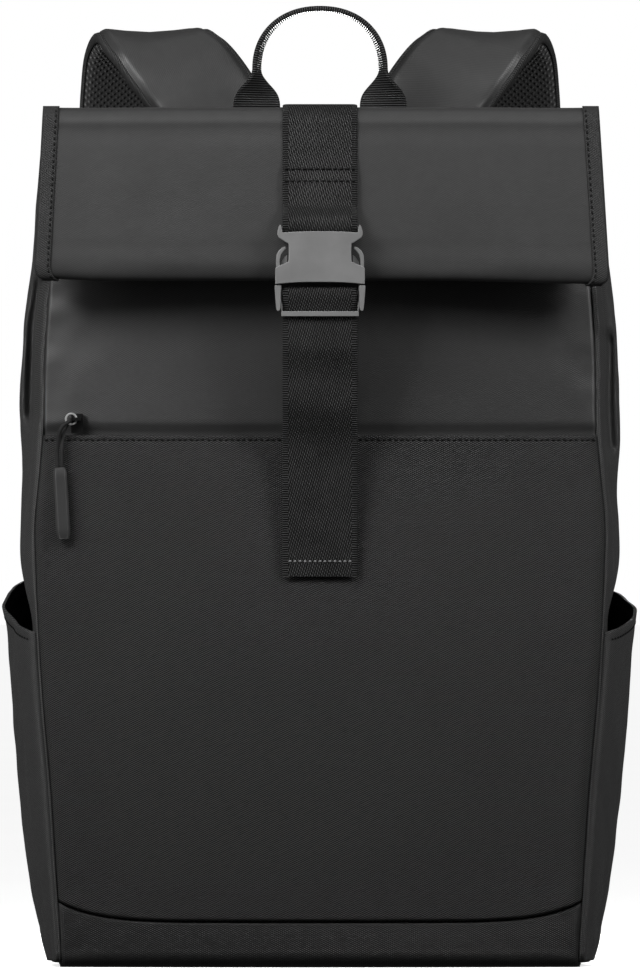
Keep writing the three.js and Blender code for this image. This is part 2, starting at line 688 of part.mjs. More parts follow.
// The lower webbing climbs from its anchor, turns round the frame's bar and hangs as a tail.
function strapLower() {
  const off = GAP + HALF_WEBBING;
  const behindBar = FRAME_BACK - FRAME_THICKNESS + FRAME_FOOT_BAR + GAP + HALF_WEBBING;
  const anchorFace = frontY(ANCHOR_HEIGHT) - off;
  const backLayer = LOWER_BAR_Y + LOOP_RADIUS;
  const hang = pocketFaceY(0, TAIL_END_HEIGHT) - TAIL_STANDOFF - HALF_WEBBING;
  const climb = FRAME_FOOT - ANCHOR_HEIGHT;
  const points = [
    [anchorFace, ANCHOR_HEIGHT],
    [frontY(ANCHOR_HEIGHT + ANCHOR_SEWN_LENGTH) - off, ANCHOR_HEIGHT + ANCHOR_SEWN_LENGTH],
    [lerp(anchorFace, backLayer, 0.45), FRAME_FOOT - 0.4 * climb],
    [lerp(anchorFace, backLayer, 0.9), FRAME_FOOT - 0.09 * climb],
    [backLayer, FRAME_FOOT + FRAME_FOOT_BAR],
    ...arc(LOWER_BAR_Y, LOWER_BAR_Z, LOOP_RADIUS, 0, 180, 8),
    [behindBar - 0.8, FRAME_FOOT + FRAME_FOOT_BAR + 2.6],
    [behindBar, FRAME_FOOT + FRAME_FOOT_BAR],
    [behindBar, FRAME_FOOT],
    [lerp(behindBar, hang, 0.08), FRAME_FOOT - 0.14 * climb],
    [lerp(behindBar, hang, 0.5), FRAME_FOOT - 0.63 * climb],
    [lerp(behindBar, hang, 0.85), FRAME_FOOT - 0.49 * TAIL_LENGTH],
    [hang, FRAME_FOOT - 0.7 * TAIL_LENGTH],
    [hang, TAIL_END_HEIGHT],
  ];
  place('strap_lower', ribbon(points, WEBBING_THICKNESS, WEBBING_WIDTH - 2 * GAP), webbing);
}

function mirrored(half) {
  return [...half, ...half.map(([x, z]) => [-x, z]).reverse()];
}

// The female half: a flat housing with a notch in each side, and two ears that hold its bar.
function buckleHousing() {
  const half = BUCKLE_WIDTH / 2;
  const foot = HOUSING_FOOT_HEIGHT;
  const front = BUCKLE_BACK - BUCKLE_THICKNESS;
  const neck = half - BUCKLE_NECK_INSET;
  const outline = mirrored([
    [half, foot], [half, foot + 0.33 * HOUSING_HEIGHT], [neck, foot + 0.44 * HOUSING_HEIGHT],
    [neck, foot + 0.8 * HOUSING_HEIGHT], [half - 1.3, foot + 0.9 * HOUSING_HEIGHT],
    [half - 1.3, HOUSING_TOP],
  ]);
  const wide = half - 1.3;
  const deep = BUCKLE_THICKNESS / 2 - BUCKLE_WALL;
  const cavity = toSolid(box(
    -wide, wide, BUCKLE_MIDDLE - deep, BUCKLE_MIDDLE + deep, foot - 1, foot + 0.45 * HOUSING_HEIGHT,
  ));
  const socket = toSolid(box(
    -neck + 2, neck - 2, BUCKLE_MIDDLE - deep, BUCKLE_MIDDLE + deep, foot, foot + 0.7 * HOUSING_HEIGHT,
  ));
  const earInner = WEBBING_WIDTH / 2;
  const earBack = BUCKLE_BACK;
  const earFront = BUCKLE_BACK - 2 * BUCKLE_BAR_RADIUS - 1;
  const earTop = UPPER_BAR_Z + BUCKLE_BAR_RADIUS;
  let solid = toSolid(extrudeBack(outline, front, BUCKLE_BACK)).subtract(cavity).subtract(socket);
  for (const side of [-1, 1]) {
    const edges = [side * earInner, side * (earInner + EAR_WIDTH)].sort((a, b) => a - b);
    solid = solid.add(toSolid(box(edges[0], edges[1], earFront, earBack, HOUSING_TOP - 1, earTop)));
  }
  const bar = new THREE.CylinderGeometry(BUCKLE_BAR_RADIUS, BUCKLE_BAR_RADIUS, 2 * earInner + EAR_WIDTH, 8);
  bar.rotateZ(Math.PI / 2).translate(0, UPPER_BAR_Y, UPPER_BAR_Z);
  place('buckle_housing', fromSolid(solid.add(toSolid(bar))), plastic);
}

// The male half: a tail frame with two bars, and a tongue and two spring arms in the housing.
function buckleProngFrame() {
  const half = BUCKLE_WIDTH / 2;
  const frameFront = FRAME_BACK - FRAME_THICKNESS;
  const deep = BUCKLE_THICKNESS / 2 - BUCKLE_WALL - GAP;
  const plate = (x0, x1, z0, z1) => toSolid(box(x0, x1, BUCKLE_MIDDLE - deep, BUCKLE_MIDDLE + deep, z0, z1));
  const foot = HOUSING_FOOT_HEIGHT;
  const neck = half - BUCKLE_NECK_INSET;
  let solid = toSolid(box(-half, half, frameFront, FRAME_BACK, FRAME_TOP - 1, FRAME_TOP));
  solid = solid.add(plate(-half + 1.8, half - 1.8, FRAME_TOP - 0.5, foot + 4));
  solid = solid.add(plate(-TONGUE_HALF_WIDTH, TONGUE_HALF_WIDTH, foot + 3, foot + 0.7 * HOUSING_HEIGHT - 2 * GAP));
  for (const side of [-1, 1]) {
    const arm = [
      [half - 1.8, foot + 3], [half - 1.8, foot + 0.38 * HOUSING_HEIGHT],
      [half - 0.9, foot + 0.5 * HOUSING_HEIGHT],
      [half - 1.4, foot + 0.62 * HOUSING_HEIGHT], [neck + 1.2, foot + 0.78 * HOUSING_HEIGHT],
      [neck + 0.6, foot + 0.7 * HOUSING_HEIGHT], [neck + 2.6, foot + 0.55 * HOUSING_HEIGHT],
      [half - 4.4, foot + 0.4 * HOUSING_HEIGHT], [half - 4.6, foot + 3],
    ].map(([x, z]) => [side * x, z]);
    const armFront = BUCKLE_MIDDLE - deep;
    solid = solid.add(toSolid(extrudeBack(arm, armFront, BUCKLE_MIDDLE + deep)));
    const edges = [side * (half - FRAME_LEG), side * half].sort((a, b) => a - b);
    solid = solid.add(toSolid(box(edges[0], edges[1], frameFront, FRAME_BACK, FRAME_FOOT + 1, FRAME_TOP)));
  }
  solid = solid.add(toSolid(box(
    -half + 1, half - 1, frameFront, frameFront + FRAME_FOOT_BAR, FRAME_FOOT, FRAME_FOOT + FRAME_FOOT_BAR,
  )));
  const bar = new THREE.CylinderGeometry(BUCKLE_BAR_RADIUS, BUCKLE_BAR_RADIUS, BUCKLE_WIDTH - FRAME_LEG, 8);
  bar.rotateZ(Math.PI / 2).translate(0, LOWER_BAR_Y, LOWER_BAR_Z);
  place('buckle_prong_frame', fromSolid(solid.add(toSolid(bar))), plastic);
}

// The front pocket's outer face at a place across and a height.
function pocketFaceY(x, z) {
  const share = x / seamHalf(z);
  const rise = Math.min(1, (z - BASE_SEAM_HEIGHT) / (POCKET_TOP - BASE_SEAM_HEIGHT));
  return frontY(z) + FRONT_CROWN * share * share - pocketStandoff(share, rise) - POCKET_CLOTH;
}

// The zip pull: a lug on the slider, a wire ring, a doubled cord and a moulded sleeve.
function zipPull() {
  const x = PULL_FROM_SEAM - seamHalf(POCKET_TOP);
  const sleeveX = x - PULL_SLEEVE_SWING;
  const cordRadius = PULL_CORD_DIAMETER / 2;
  const clear = PULL_WIRE_RADIUS + cordRadius + GAP;
  const edgeFace = pocketFaceY(x, POCKET_TOP);
  const wallFace = frontSurface((x + PULL_LUG_WIDTH) / seamHalf(POCKET_TOP), POCKET_TOP, 1).y;
  const ringZ = POCKET_TOP + PULL_RISE;
  const ringY = edgeFace - clear - cordRadius - GAP;
  const lugHole = PULL_WIRE_RADIUS + GAP;
  const lugTop = ringZ + PULL_RING_RADIUS;
  const base = toSolid(box(x, x + PULL_LUG_WIDTH, wallFace - 3, wallFace - GAP, POCKET_TOP + 1, lugTop));
  const lugX = x + PULL_RING_RADIUS;
  const lug = toSolid(box(
    lugX - 2, lugX + 2, ringY - lugHole - 0.8, wallFace - 1, ringZ - 0.8, ringZ + 0.8,
  ));
  const hole = new THREE.CylinderGeometry(lugHole, lugHole, PULL_LUG_WIDTH, 8);
  hole.rotateX(Math.PI / 2).translate(lugX, ringY, ringZ);
  place('zip_slider', fromSolid(base.add(lug).subtract(toSolid(hole))), plastic);

  const ring = new THREE.TorusGeometry(PULL_RING_RADIUS, PULL_WIRE_RADIUS, 6, 16);
  const hoop = place('pull_ring', ring, steel);
  hoop.rotation.x = Math.PI / 2;
  hoop.position.set(x, ringY, ringZ);

  const sleeveFoot = PULL_SLEEVE_TOP - PULL_SLEEVE_LENGTH;
  const innerEdge = sleeveX + PULL_SLEEVE_LEAN + PULL_SLEEVE_WIDTH / 2;
  const sleeveY = (z) => pocketFaceY(innerEdge, z) - PULL_SLEEVE_THICKNESS / 2 - GAP;
  const top = new THREE.Vector3(sleeveX, sleeveY(PULL_SLEEVE_TOP), PULL_SLEEVE_TOP);
  const end = new THREE.Vector3(sleeveX + PULL_SLEEVE_LEAN, sleeveY(sleeveFoot), sleeveFoot);
  const across = new THREE.Vector3(1, 0, 0);
  const bar = sweep(
    [{ point: top, across }, { point: end, across }], BEVELLED_OUTLINE, PULL_SLEEVE_WIDTH, PULL_SLEEVE_THICKNESS,
  );
  place('pull_sleeve', bar, rubber);

  const part = cordRadius + GAP / 2;
  const run = [
    [top.x - part, top.y, top.z + GAP],
    [top.x - part, lerp(top.y, ringY, 0.5), lerp(top.z, ringZ, 0.45)],
    [x - 0.55 * PULL_RISE, ringY - clear, ringZ - 0.5 * PULL_RISE],
    [x - 0.3 * PULL_RING_RADIUS, ringY - clear, ringZ - 0.35 * PULL_RING_RADIUS],
    [x - 0.1 * PULL_RING_RADIUS, ringY, ringZ - 0.1 * PULL_RING_RADIUS],
    [x - 0.3 * PULL_RING_RADIUS, ringY + clear, ringZ - 0.35 * PULL_RING_RADIUS],
    [x - 0.4 * PULL_RISE, ringY + clear, ringZ - 0.6 * PULL_RISE],
    [top.x + part, lerp(top.y, ringY, 0.3), lerp(top.z, ringZ, 0.4)],
    [top.x + part, top.y, top.z + GAP],
  ];
  const stations = run.map((at) => ({ point: new THREE.Vector3(...at), across }));
  place('pull_cord', sweep(stations, ROUND_OUTLINE, PULL_CORD_DIAMETER, PULL_CORD_DIAMETER), webbing);
}

// The grab handle twists from flat at its feet to edge-on at its waist, then arches over.
function grabHandle() {
  const radius = HANDLE_SPAN / 2;
  const foot = BAG_HEIGHT + GAP;
  const rise = HANDLE_TOP - HANDLE_THICKNESS / 2 - HANDLE_WAIST;
  const twist = 4;
  const bend = 12;
  const stations = [];
  const leg = (side, k) => {
    const angle = (Math.PI / 2) * smooth(k / twist);
    return {
      point: new THREE.Vector3(side * radius, HANDLE_Y, lerp(foot, HANDLE_WAIST, k / twist)),
      across: new THREE.Vector3(Math.cos(angle), Math.sin(angle), 0),
    };
  };
  for (let k = 0; k < twist; k += 1) stations.push(leg(-1, k));
  for (let k = 0; k <= bend; k += 1) {
    const angle = Math.PI * (1 - k / bend);
    stations.push({
      point: new THREE.Vector3(radius * Math.cos(angle), HANDLE_Y, HANDLE_WAIST + rise * Math.sin(angle)),
      across: new THREE.Vector3(0, 1, 0),
    });
  }
  for (let k = twist - 1; k >= 0; k -= 1) {
    const end = leg(1, k);
    end.across.x *= -1;
    stations.push(end);
  }
  place('grab_handle', sweep(stations, FLAT_OUTLINE, HANDLE_WIDTH, HANDLE_THICKNESS), webbing);
}

// The shoulder strap's run, as shares: across of the body's half width, out of the strap's reach
// behind the back, and up between its attachment (0) and its top (1).
const STRAP_RUN = [
  { across: 0.36, out: 0.0, up: 0.0 },
  { across: 0.385, out: 0.012, up: 0.22 },
  { across: 0.42, out: 0.05, up: 0.46 },
  { across: 0.47, out: 0.16, up: 0.66 },
  { across: 0.525, out: 0.28, up: 0.86 },
  { across: 0.56, out: 0.45, up: 0.98 },
  { across: 0.58, out: 0.66, up: 1.0 },
  { across: 0.6, out: 0.85, up: 0.86 },
  { across: 0.615, out: 0.96, up: 0.6 },
  { across: 0.622, out: 1.0, up: 0.25 },
];

// The rest of its run, with down as a share of the way from its attachment to the pad's end.
const STRAP_FALL = [
  { across: 0.63, out: 1.0, down: 0.1 },
  { across: 0.64, out: 0.95, down: 0.35 },
  { across: 0.655, out: 0.86, down: 0.6 },
  { across: 0.67, out: 0.74, down: 0.82 },
  { across: 0.675, out: 0.64, down: 1.0 },
];

function strapPlaces(side) {
  const near = BACK_Y + GAP + STRAP_PADDING / 2;
  const peak = STRAP_TOP - STRAP_PADDING / 2;
  const point = (row, z) => new THREE.Vector3(
    side * row.across * HALF_WIDTH, near + row.out * STRAP_REACH, z,
  );
  return [
    ...STRAP_RUN.map((row) => point(row, lerp(STRAP_ATTACH_HEIGHT, peak, row.up))),
    ...STRAP_FALL.map((row) => point(row, lerp(STRAP_ATTACH_HEIGHT, STRAP_PAD_END, row.down))),
  ];
}

function shoulderStrap(name, side) {
  const across = new THREE.Vector3(1, 0, 0);
  const stations = strapPlaces(side).map((point) => ({ point, across }));
  place(name, sweep(stations, PADDED_OUTLINE, STRAP_WIDTH, STRAP_PADDING), cloth);
}

// The slider below each strap, and the webbing that comes up to it from the bag's foot.
function strapTail(side, ending) {
  const places = strapPlaces(side);
  const end = places[places.length - 1];
  const lean = end.clone().sub(places[places.length - 2]).normalize();
  const middle = end.clone().addScaledVector(lean, 2 * GAP + ADJUSTER_LENGTH / 2);
  const tilt = Math.atan2(-lean.y, -lean.z);
  const halfLong = ADJUSTER_LENGTH / 2;
  const halfWide = ADJUSTER_WIDTH / 2;
  const halfThick = ADJUSTER_THICKNESS / 2;
  let solid = toSolid(box(-halfWide, halfWide, -halfThick, halfThick, -halfLong, halfLong));
  for (const direction of [-1, 1]) {
    const centre = direction * (halfLong - ADJUSTER_BAR) / 2;
    const reach = (halfLong - 2 * ADJUSTER_BAR) / 2;
    solid = solid.subtract(toSolid(box(
      -halfWide + ADJUSTER_BAR, halfWide - ADJUSTER_BAR, -halfLong, halfLong, centre - reach, centre + reach,
    )));
  }
  const slider = place(`strap_adjuster_${ending}`, fromSolid(solid), plastic);
  slider.position.copy(middle);
  slider.rotation.x = -tilt;

  const start = new THREE.Vector3(
    side * LOWER_WEBBING_ACROSS, BACK_Y + GAP + WEBBING_THICKNESS, LOWER_WEBBING_FOOT,
  );
  const finish = end.clone().addScaledVector(lean, 3 * GAP + ADJUSTER_LENGTH + WEBBING_THICKNESS);
  const rows = [[0, 0], [0.12, 0.0], [0.35, 0.3], [0.7, 0.8], [1, 1]];
  const stations = rows.map(([up, out]) => ({
    point: new THREE.Vector3(
      lerp(start.x, finish.x, up), lerp(start.y, finish.y, out), lerp(start.z, finish.z, up),
    ),
    across: new THREE.Vector3(1, 0, 0),
  }));
  const strip = sweep(stations, FLAT_OUTLINE, LOWER_WEBBING_WIDTH, WEBBING_THICKNESS);
  place(`lower_strap_${ending}`, strip, webbing);
}

frontPanel();
basePanel();
sideGusset('side_gusset_left', -1);
sideGusset('side_gusset_right', 1);
sidePocket('side_pocket_left', -1);
sidePocket('side_pocket_right', 1);
frontPocketPanel();
zipTape();
backPanel();
rollTop();
rollBinding('roll_binding_left', -1);
rollBinding('roll_binding_right', 1);
strapUpper();
strapLower();
buckleHousing();
buckleProngFrame();
zipPull();
grabHandle();
shoulderStrap('shoulder_strap_left', -1);
shoulderStrap('shoulder_strap_right', 1);
strapTail(-1, 'left');
strapTail(1, 'right');

export default bag;
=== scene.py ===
import math

import bpy
import numpy as np
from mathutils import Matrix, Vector


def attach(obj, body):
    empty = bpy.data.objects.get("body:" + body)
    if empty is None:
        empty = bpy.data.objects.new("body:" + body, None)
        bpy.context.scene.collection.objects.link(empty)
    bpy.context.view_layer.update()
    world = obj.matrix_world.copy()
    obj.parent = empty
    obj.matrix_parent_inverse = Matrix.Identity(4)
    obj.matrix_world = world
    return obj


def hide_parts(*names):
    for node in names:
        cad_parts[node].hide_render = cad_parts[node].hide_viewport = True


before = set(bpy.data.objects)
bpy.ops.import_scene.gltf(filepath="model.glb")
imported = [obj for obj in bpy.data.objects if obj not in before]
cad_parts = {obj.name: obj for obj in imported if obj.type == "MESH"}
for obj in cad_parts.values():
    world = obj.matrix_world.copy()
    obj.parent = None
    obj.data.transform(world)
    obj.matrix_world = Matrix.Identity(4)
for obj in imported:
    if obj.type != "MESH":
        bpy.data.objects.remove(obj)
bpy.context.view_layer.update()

# Every length in this file is in millimetres. X is right, Y away from the camera, Z up.

MM = 0.001
GAP = 0.3
BAG_HEIGHT = 430.0
HALF_WIDTH = 149.3
BODY_DEPTH = 123.0
BACK_Y = 61.5
WALL_HEIGHT = 426.7
WALL_FOOT = 2.3
FRONT_CROWN = 11.0
BASE_ROUND = 9.0
BASE_SEAM_HEIGHT = 23.0
BASE_SEAM_RISE = 10.0
POCKET_TOP = 266.5
POCKET_CLOTH = 1.6
POCKET_FULLNESS = 4.0
ROLL_DROP = 86.5
ROLL_CORNER = 9.0
ROLL_HEM = 8.5
ROLL_CURL = 3.6
ROLL_FRONT_TOP = 66.0
ROLL_FRONT_FOOT = 80.0
BINDING_WIDTH = 8.3
WEBBING_WIDTH = 37.4
WEBBING_THICKNESS = 1.5
HOUSING_FOOT = 342.0
HOUSING_TOP = 366.0
BUCKLE_BACK = -80.5
BUCKLE_MIDDLE = -85.5
BUCKLE_FRONT = -90.5
UPPER_BAR = (-81.8, 369.4)
LOWER_BAR = (-85.7, 337.3)
LOOP_RADIUS = 2.35
FRAME_FOOT = 325.5
TAIL_END = 195.75
HANDLE_WIDTH = 23.7
HANDLE_Y = 44.0
STRAP_WIDTH = 54.0
STRAP_PADDING = 12.0

# Rows of rise (share of the wall's height), seam, side (shares of the half width) and front (of the depth).
SECTIONS = np.array([
    (0.0, 0.874, 0.9, 0.45), (0.03, 0.877, 0.926, 0.465), (0.06, 0.881, 0.936, 0.474),
    (0.105, 0.889, 0.948, 0.482), (0.2, 0.906, 0.958, 0.496), (0.33, 0.938, 0.962, 0.5),
    (0.42, 0.953, 0.97, 0.498), (0.47, 0.958, 0.994, 0.494), (0.52, 0.961, 0.998, 0.488),
    (0.57, 0.948, 1.0, 0.481), (0.625, 0.934, 1.0, 0.472), (0.695, 0.931, 0.996, 0.452),
    (0.735, 0.927, 0.991, 0.44), (0.805, 0.914, 0.966, 0.42), (0.9, 0.904, 0.942, 0.375),
    (1.0, 0.898, 0.92, 0.33),
])

# Pinches in the side walls: side, rise, reach up and down, place from front to back, spread, press.
GUSSET_FOLDS = [
    (-1, 0.69, 0.11, 0.2, 0.1, 0.55), (-1, 0.3, 0.12, 0.75, 0.12, 0.35),
    (1, 0.68, 0.13, 0.19, 0.1, 0.5), (1, 0.33, 0.12, 0.72, 0.12, 0.35),
]

# The deep pinch behind each front seam: from, up to, distance outside the seam, depth.
GUSSET_GROOVES = {-1: (268.0, 350.0, 5.4, 15.0), 1: (252.0, 322.0, 5.6, 12.0)}


# Numbers


def lerp(a, b, t):
    return a + (b - a) * t


def smooth(t):
    t = np.clip(t, 0.0, 1.0)
    return t * t * (3 - 2 * t)


def eased(places, values):
    """A smooth curve through the values, with the slope at each place taken from its neighbours."""
    x = np.asarray(places, float)
    y = np.asarray(values, float)
    steps = np.diff(x)
    slopes = np.diff(y) / steps
    tangents = np.empty_like(y)
    tangents[1:-1] = (slopes[:-1] * steps[1:] + slopes[1:] * steps[:-1]) / (steps[:-1] + steps[1:])
    tangents[0] = slopes[0]
    tangents[-1] = slopes[-1]

    def value(at):
        at = np.clip(at, x[0], x[-1])
        i = np.clip(np.searchsorted(x, at, side="right") - 1, 0, len(steps) - 1)
        h = steps[i]
        t = (at - x[i]) / h
        near = (2 * t**3 - 3 * t**2 + 1) * y[i] + (t**3 - 2 * t**2 + t) * h * tangents[i]
        far = (-2 * t**3 + 3 * t**2) * y[i + 1] + (t**3 - t**2) * h * tangents[i + 1]
        return near + far

    return value


def noise(u, v, seed):
    """Smooth seeded noise from -1 to 1, with one cell a unit wide."""
    table = np.random.default_rng(seed).uniform(-1, 1, (64, 64))
    u, v = np.broadcast_arrays(np.asarray(u, float), np.asarray(v, float))
    i = np.floor(u).astype(int)
    j = np.floor(v).astype(int)
    a = smooth(u - i)
    b = smooth(v - j)
    low = lerp(table[i % 64, j % 64], table[(i + 1) % 64, j % 64], a)
    high = lerp(table[i % 64, (j + 1) % 64], table[(i + 1) % 64, (j + 1) % 64], a)
    return lerp(low, high, b)


def unit(vectors):
    return vectors / np.maximum(np.linalg.norm(vectors, axis=-1, keepdims=True), 1e-9)


def reach_along(points):
    """How far along a run of points each one lies."""
    steps = np.linalg.norm(np.diff(points, axis=0), axis=1)
    return np.concatenate([[0.0], np.cumsum(steps)])


def smooth_path(points, step):
    """Points a step apart on a smooth curve through the given ones."""
    points = np.asarray(points, float)
    reach = reach_along(points)
    count = max(2, int(round(reach[-1] / step)))
    at = np.linspace(0, reach[-1], count + 1)
    return np.stack([eased(reach, points[:, k])(at) for k in range(points.shape[1])], 1)


def arc(cy, cz, radius, start, end, count):
    angles = np.radians(np.linspace(start, end, count + 1))
    return [(cy + radius * math.cos(a), cz + radius * math.sin(a)) for a in angles]


# Meshes


def make_mesh(name, points, faces, material, uv=None, sharp=None, smooth_faces=True):
    mesh = bpy.data.meshes.new(name)
    mesh.from_pydata((np.asarray(points, float) * MM).tolist(), [], [tuple(f) for f in faces])
    mesh.update()
    if uv is not None:
        layer = mesh.uv_layers.new(name="cloth")
        corners = np.empty(len(mesh.loops), np.int32)
        mesh.loops.foreach_get("vertex_index", corners)
        layer.data.foreach_set("uv", (np.asarray(uv, float)[corners] * MM).astype(np.float32).ravel())
    mesh.polygons.foreach_set("use_smooth", [smooth_faces] * len(mesh.polygons))
    if sharp is not None:
        mesh.set_sharp_from_angle(angle=math.radians(sharp))
    piece = bpy.data.objects.new(name, mesh)
    bpy.context.scene.collection.objects.link(piece)
    for one in material if isinstance(material, (list, tuple)) else [material]:
        mesh.materials.append(one)
    return piece


def grid_faces(rows, columns, flip=False, closed=False):
    index = np.arange(rows * columns).reshape(rows, columns)
    if closed:
        index = np.concatenate([index, index[:, :1]], axis=1)
    quads = np.stack([index[:-1, :-1], index[:-1, 1:], index[1:, 1:], index[1:, :-1]], -1).reshape(-1, 4)
    return (quads[:, ::-1] if flip else quads).tolist()


def grid_uv(points):
    """Distances across and along a grid of points, so that a weave keeps its pitch."""
    rows, columns, _ = points.shape
    across = np.zeros((rows, columns))
    across[:, 1:] = np.cumsum(np.linalg.norm(np.diff(points, axis=1), axis=2), axis=1)
    across -= across[:, columns // 2][:, None]
    along = np.zeros((rows, columns))
    along[1:] = np.cumsum(np.linalg.norm(np.diff(points, axis=0), axis=2), axis=0)
    upwards = np.sign(points[1, columns // 2, 2] - points[0, columns // 2, 2])
    along += upwards * (points[0, :, 2] - points[0, columns // 2, 2])[None, :]
    return np.stack([across, along], -1).reshape(-1, 2)


def sheet_piece(name, points, material, thickness, flip=False, inside=None):
    """A cloth surface with its thickness behind it, and another cloth inside where one is given."""
    rows, columns, _ = points.shape
    piece = make_mesh(
        name, points.reshape(-1, 3), grid_faces(rows, columns, flip), material, grid_uv(points)
    )
    solid = piece.modifiers.new("cloth", "SOLIDIFY")
    solid.thickness = thickness * MM
    solid.offset = -1
    solid.use_even_offset = False
    solid.use_quality_normals = True
    if inside is not None:
        piece.data.materials.append(inside)
        solid.material_offset = 1
    return piece


def sweep(name, path, across, outline, material, caps=True, sharp=50):
    """An outline carried along a path. The outline's first number lies across, its second out."""
    path = np.asarray(path, float)
    outline = np.asarray(outline, float)
    along = np.gradient(path, axis=0)
    along = unit(along)
    across = np.broadcast_to(np.asarray(across, float), path.shape)
    across = unit(across - along * np.sum(across * along, axis=1, keepdims=True))
    out = np.cross(along, across)
    if outline.ndim == 2:
        outline = np.broadcast_to(outline, (len(path),) + outline.shape)
    points = path[:, None] + across[:, None] * outline[..., :1] + out[:, None] * outline[..., 1:]
    rows, ring = points.shape[:2]
    faces = grid_faces(rows, ring, closed=True)
    if caps:
        faces.append(list(range(ring)))
        faces.append([(rows - 1) * ring + k for k in reversed(range(ring))])
    reach = reach_along(path)
    uv = np.stack([outline[..., 0], np.broadcast_to(reach[:, None], (rows, ring))], -1).reshape(-1, 2)
    return make_mesh(name, points.reshape(-1, 3), faces, material, uv, sharp)


def flat_outline(width, thickness, steps=16, edge=0.5):
    """A strip's section with rounded edges."""
    half = width / 2
    across = half * np.sin(np.linspace(-math.pi / 2, math.pi / 2, steps + 1))
    rise = thickness / 2 * np.clip(1 - np.abs(across / half) ** 24, 0, 1) ** edge
    upper = np.stack([across, rise], 1)
    lower = np.stack([across[::-1], -rise[::-1]], 1)[1:-1]
    return np.concatenate([upper, lower])[::-1]


def stitches(name, path, normals, material, length=2.8, gap=1.0, radius=0.3, sunk=0.12):
    """A row of thread stitches on a surface, joined as one mesh."""
    path = np.asarray(path, float)
    reach = reach_along(path)
    pitch = length + gap
    count = max(1, int(reach[-1] / pitch))
    centres = (np.arange(count) + 0.5) * reach[-1] / count
    line = [np.interp(centres, reach, path[:, k]) for k in range(3)]
    centre = np.stack(line, 1)
    tangent = unit(np.stack([np.interp(centres + 0.5, reach, path[:, k]) for k in range(3)], 1)
                   - np.stack([np.interp(centres - 0.5, reach, path[:, k]) for k in range(3)], 1))
    normals = np.broadcast_to(np.asarray(normals, float), path.shape)
    normal = unit(np.stack([np.interp(centres, reach, normals[:, k]) for k in range(3)], 1))
    side = unit(np.cross(tangent, normal))
    normal = np.cross(side, tangent)
    shares = np.array([-1.0, -0.8, -0.35, 0.35, 0.8, 1.0])
    widths = np.array([0.35, 0.8, 1.0, 1.0, 0.8, 0.35]) * radius
    lifts = np.array([-0.9, -0.25, 0.5, 0.5, -0.25, -0.9]) * radius - sunk
    ring = 6
    angles = np.linspace(0, 2 * math.pi, ring, endpoint=False)
    points = (
        centre[:, None, None] + tangent[:, None, None] * (shares * length / 2)[None, :, None, None]
        + normal[:, None, None] * (lifts[:, None] + widths[:, None] * np.sin(angles))[None, :, :, None]
        + side[:, None, None] * (widths[:, None] * np.cos(angles))[None, :, :, None]
    )
    rows = len(shares)
    one = grid_faces(rows, ring, closed=True) + [
        list(range(ring)), [(rows - 1) * ring + k for k in reversed(range(ring))]
    ]
    faces = [[corner + k * rows * ring for corner in face] for k in range(count) for face in one]
    return make_mesh(name, points.reshape(-1, 3), faces, material, sharp=80)


def finish_piece(piece, slot, *nodes):
    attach(piece, "root")
    if nodes:
        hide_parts(*nodes)
    return piece


# Materials


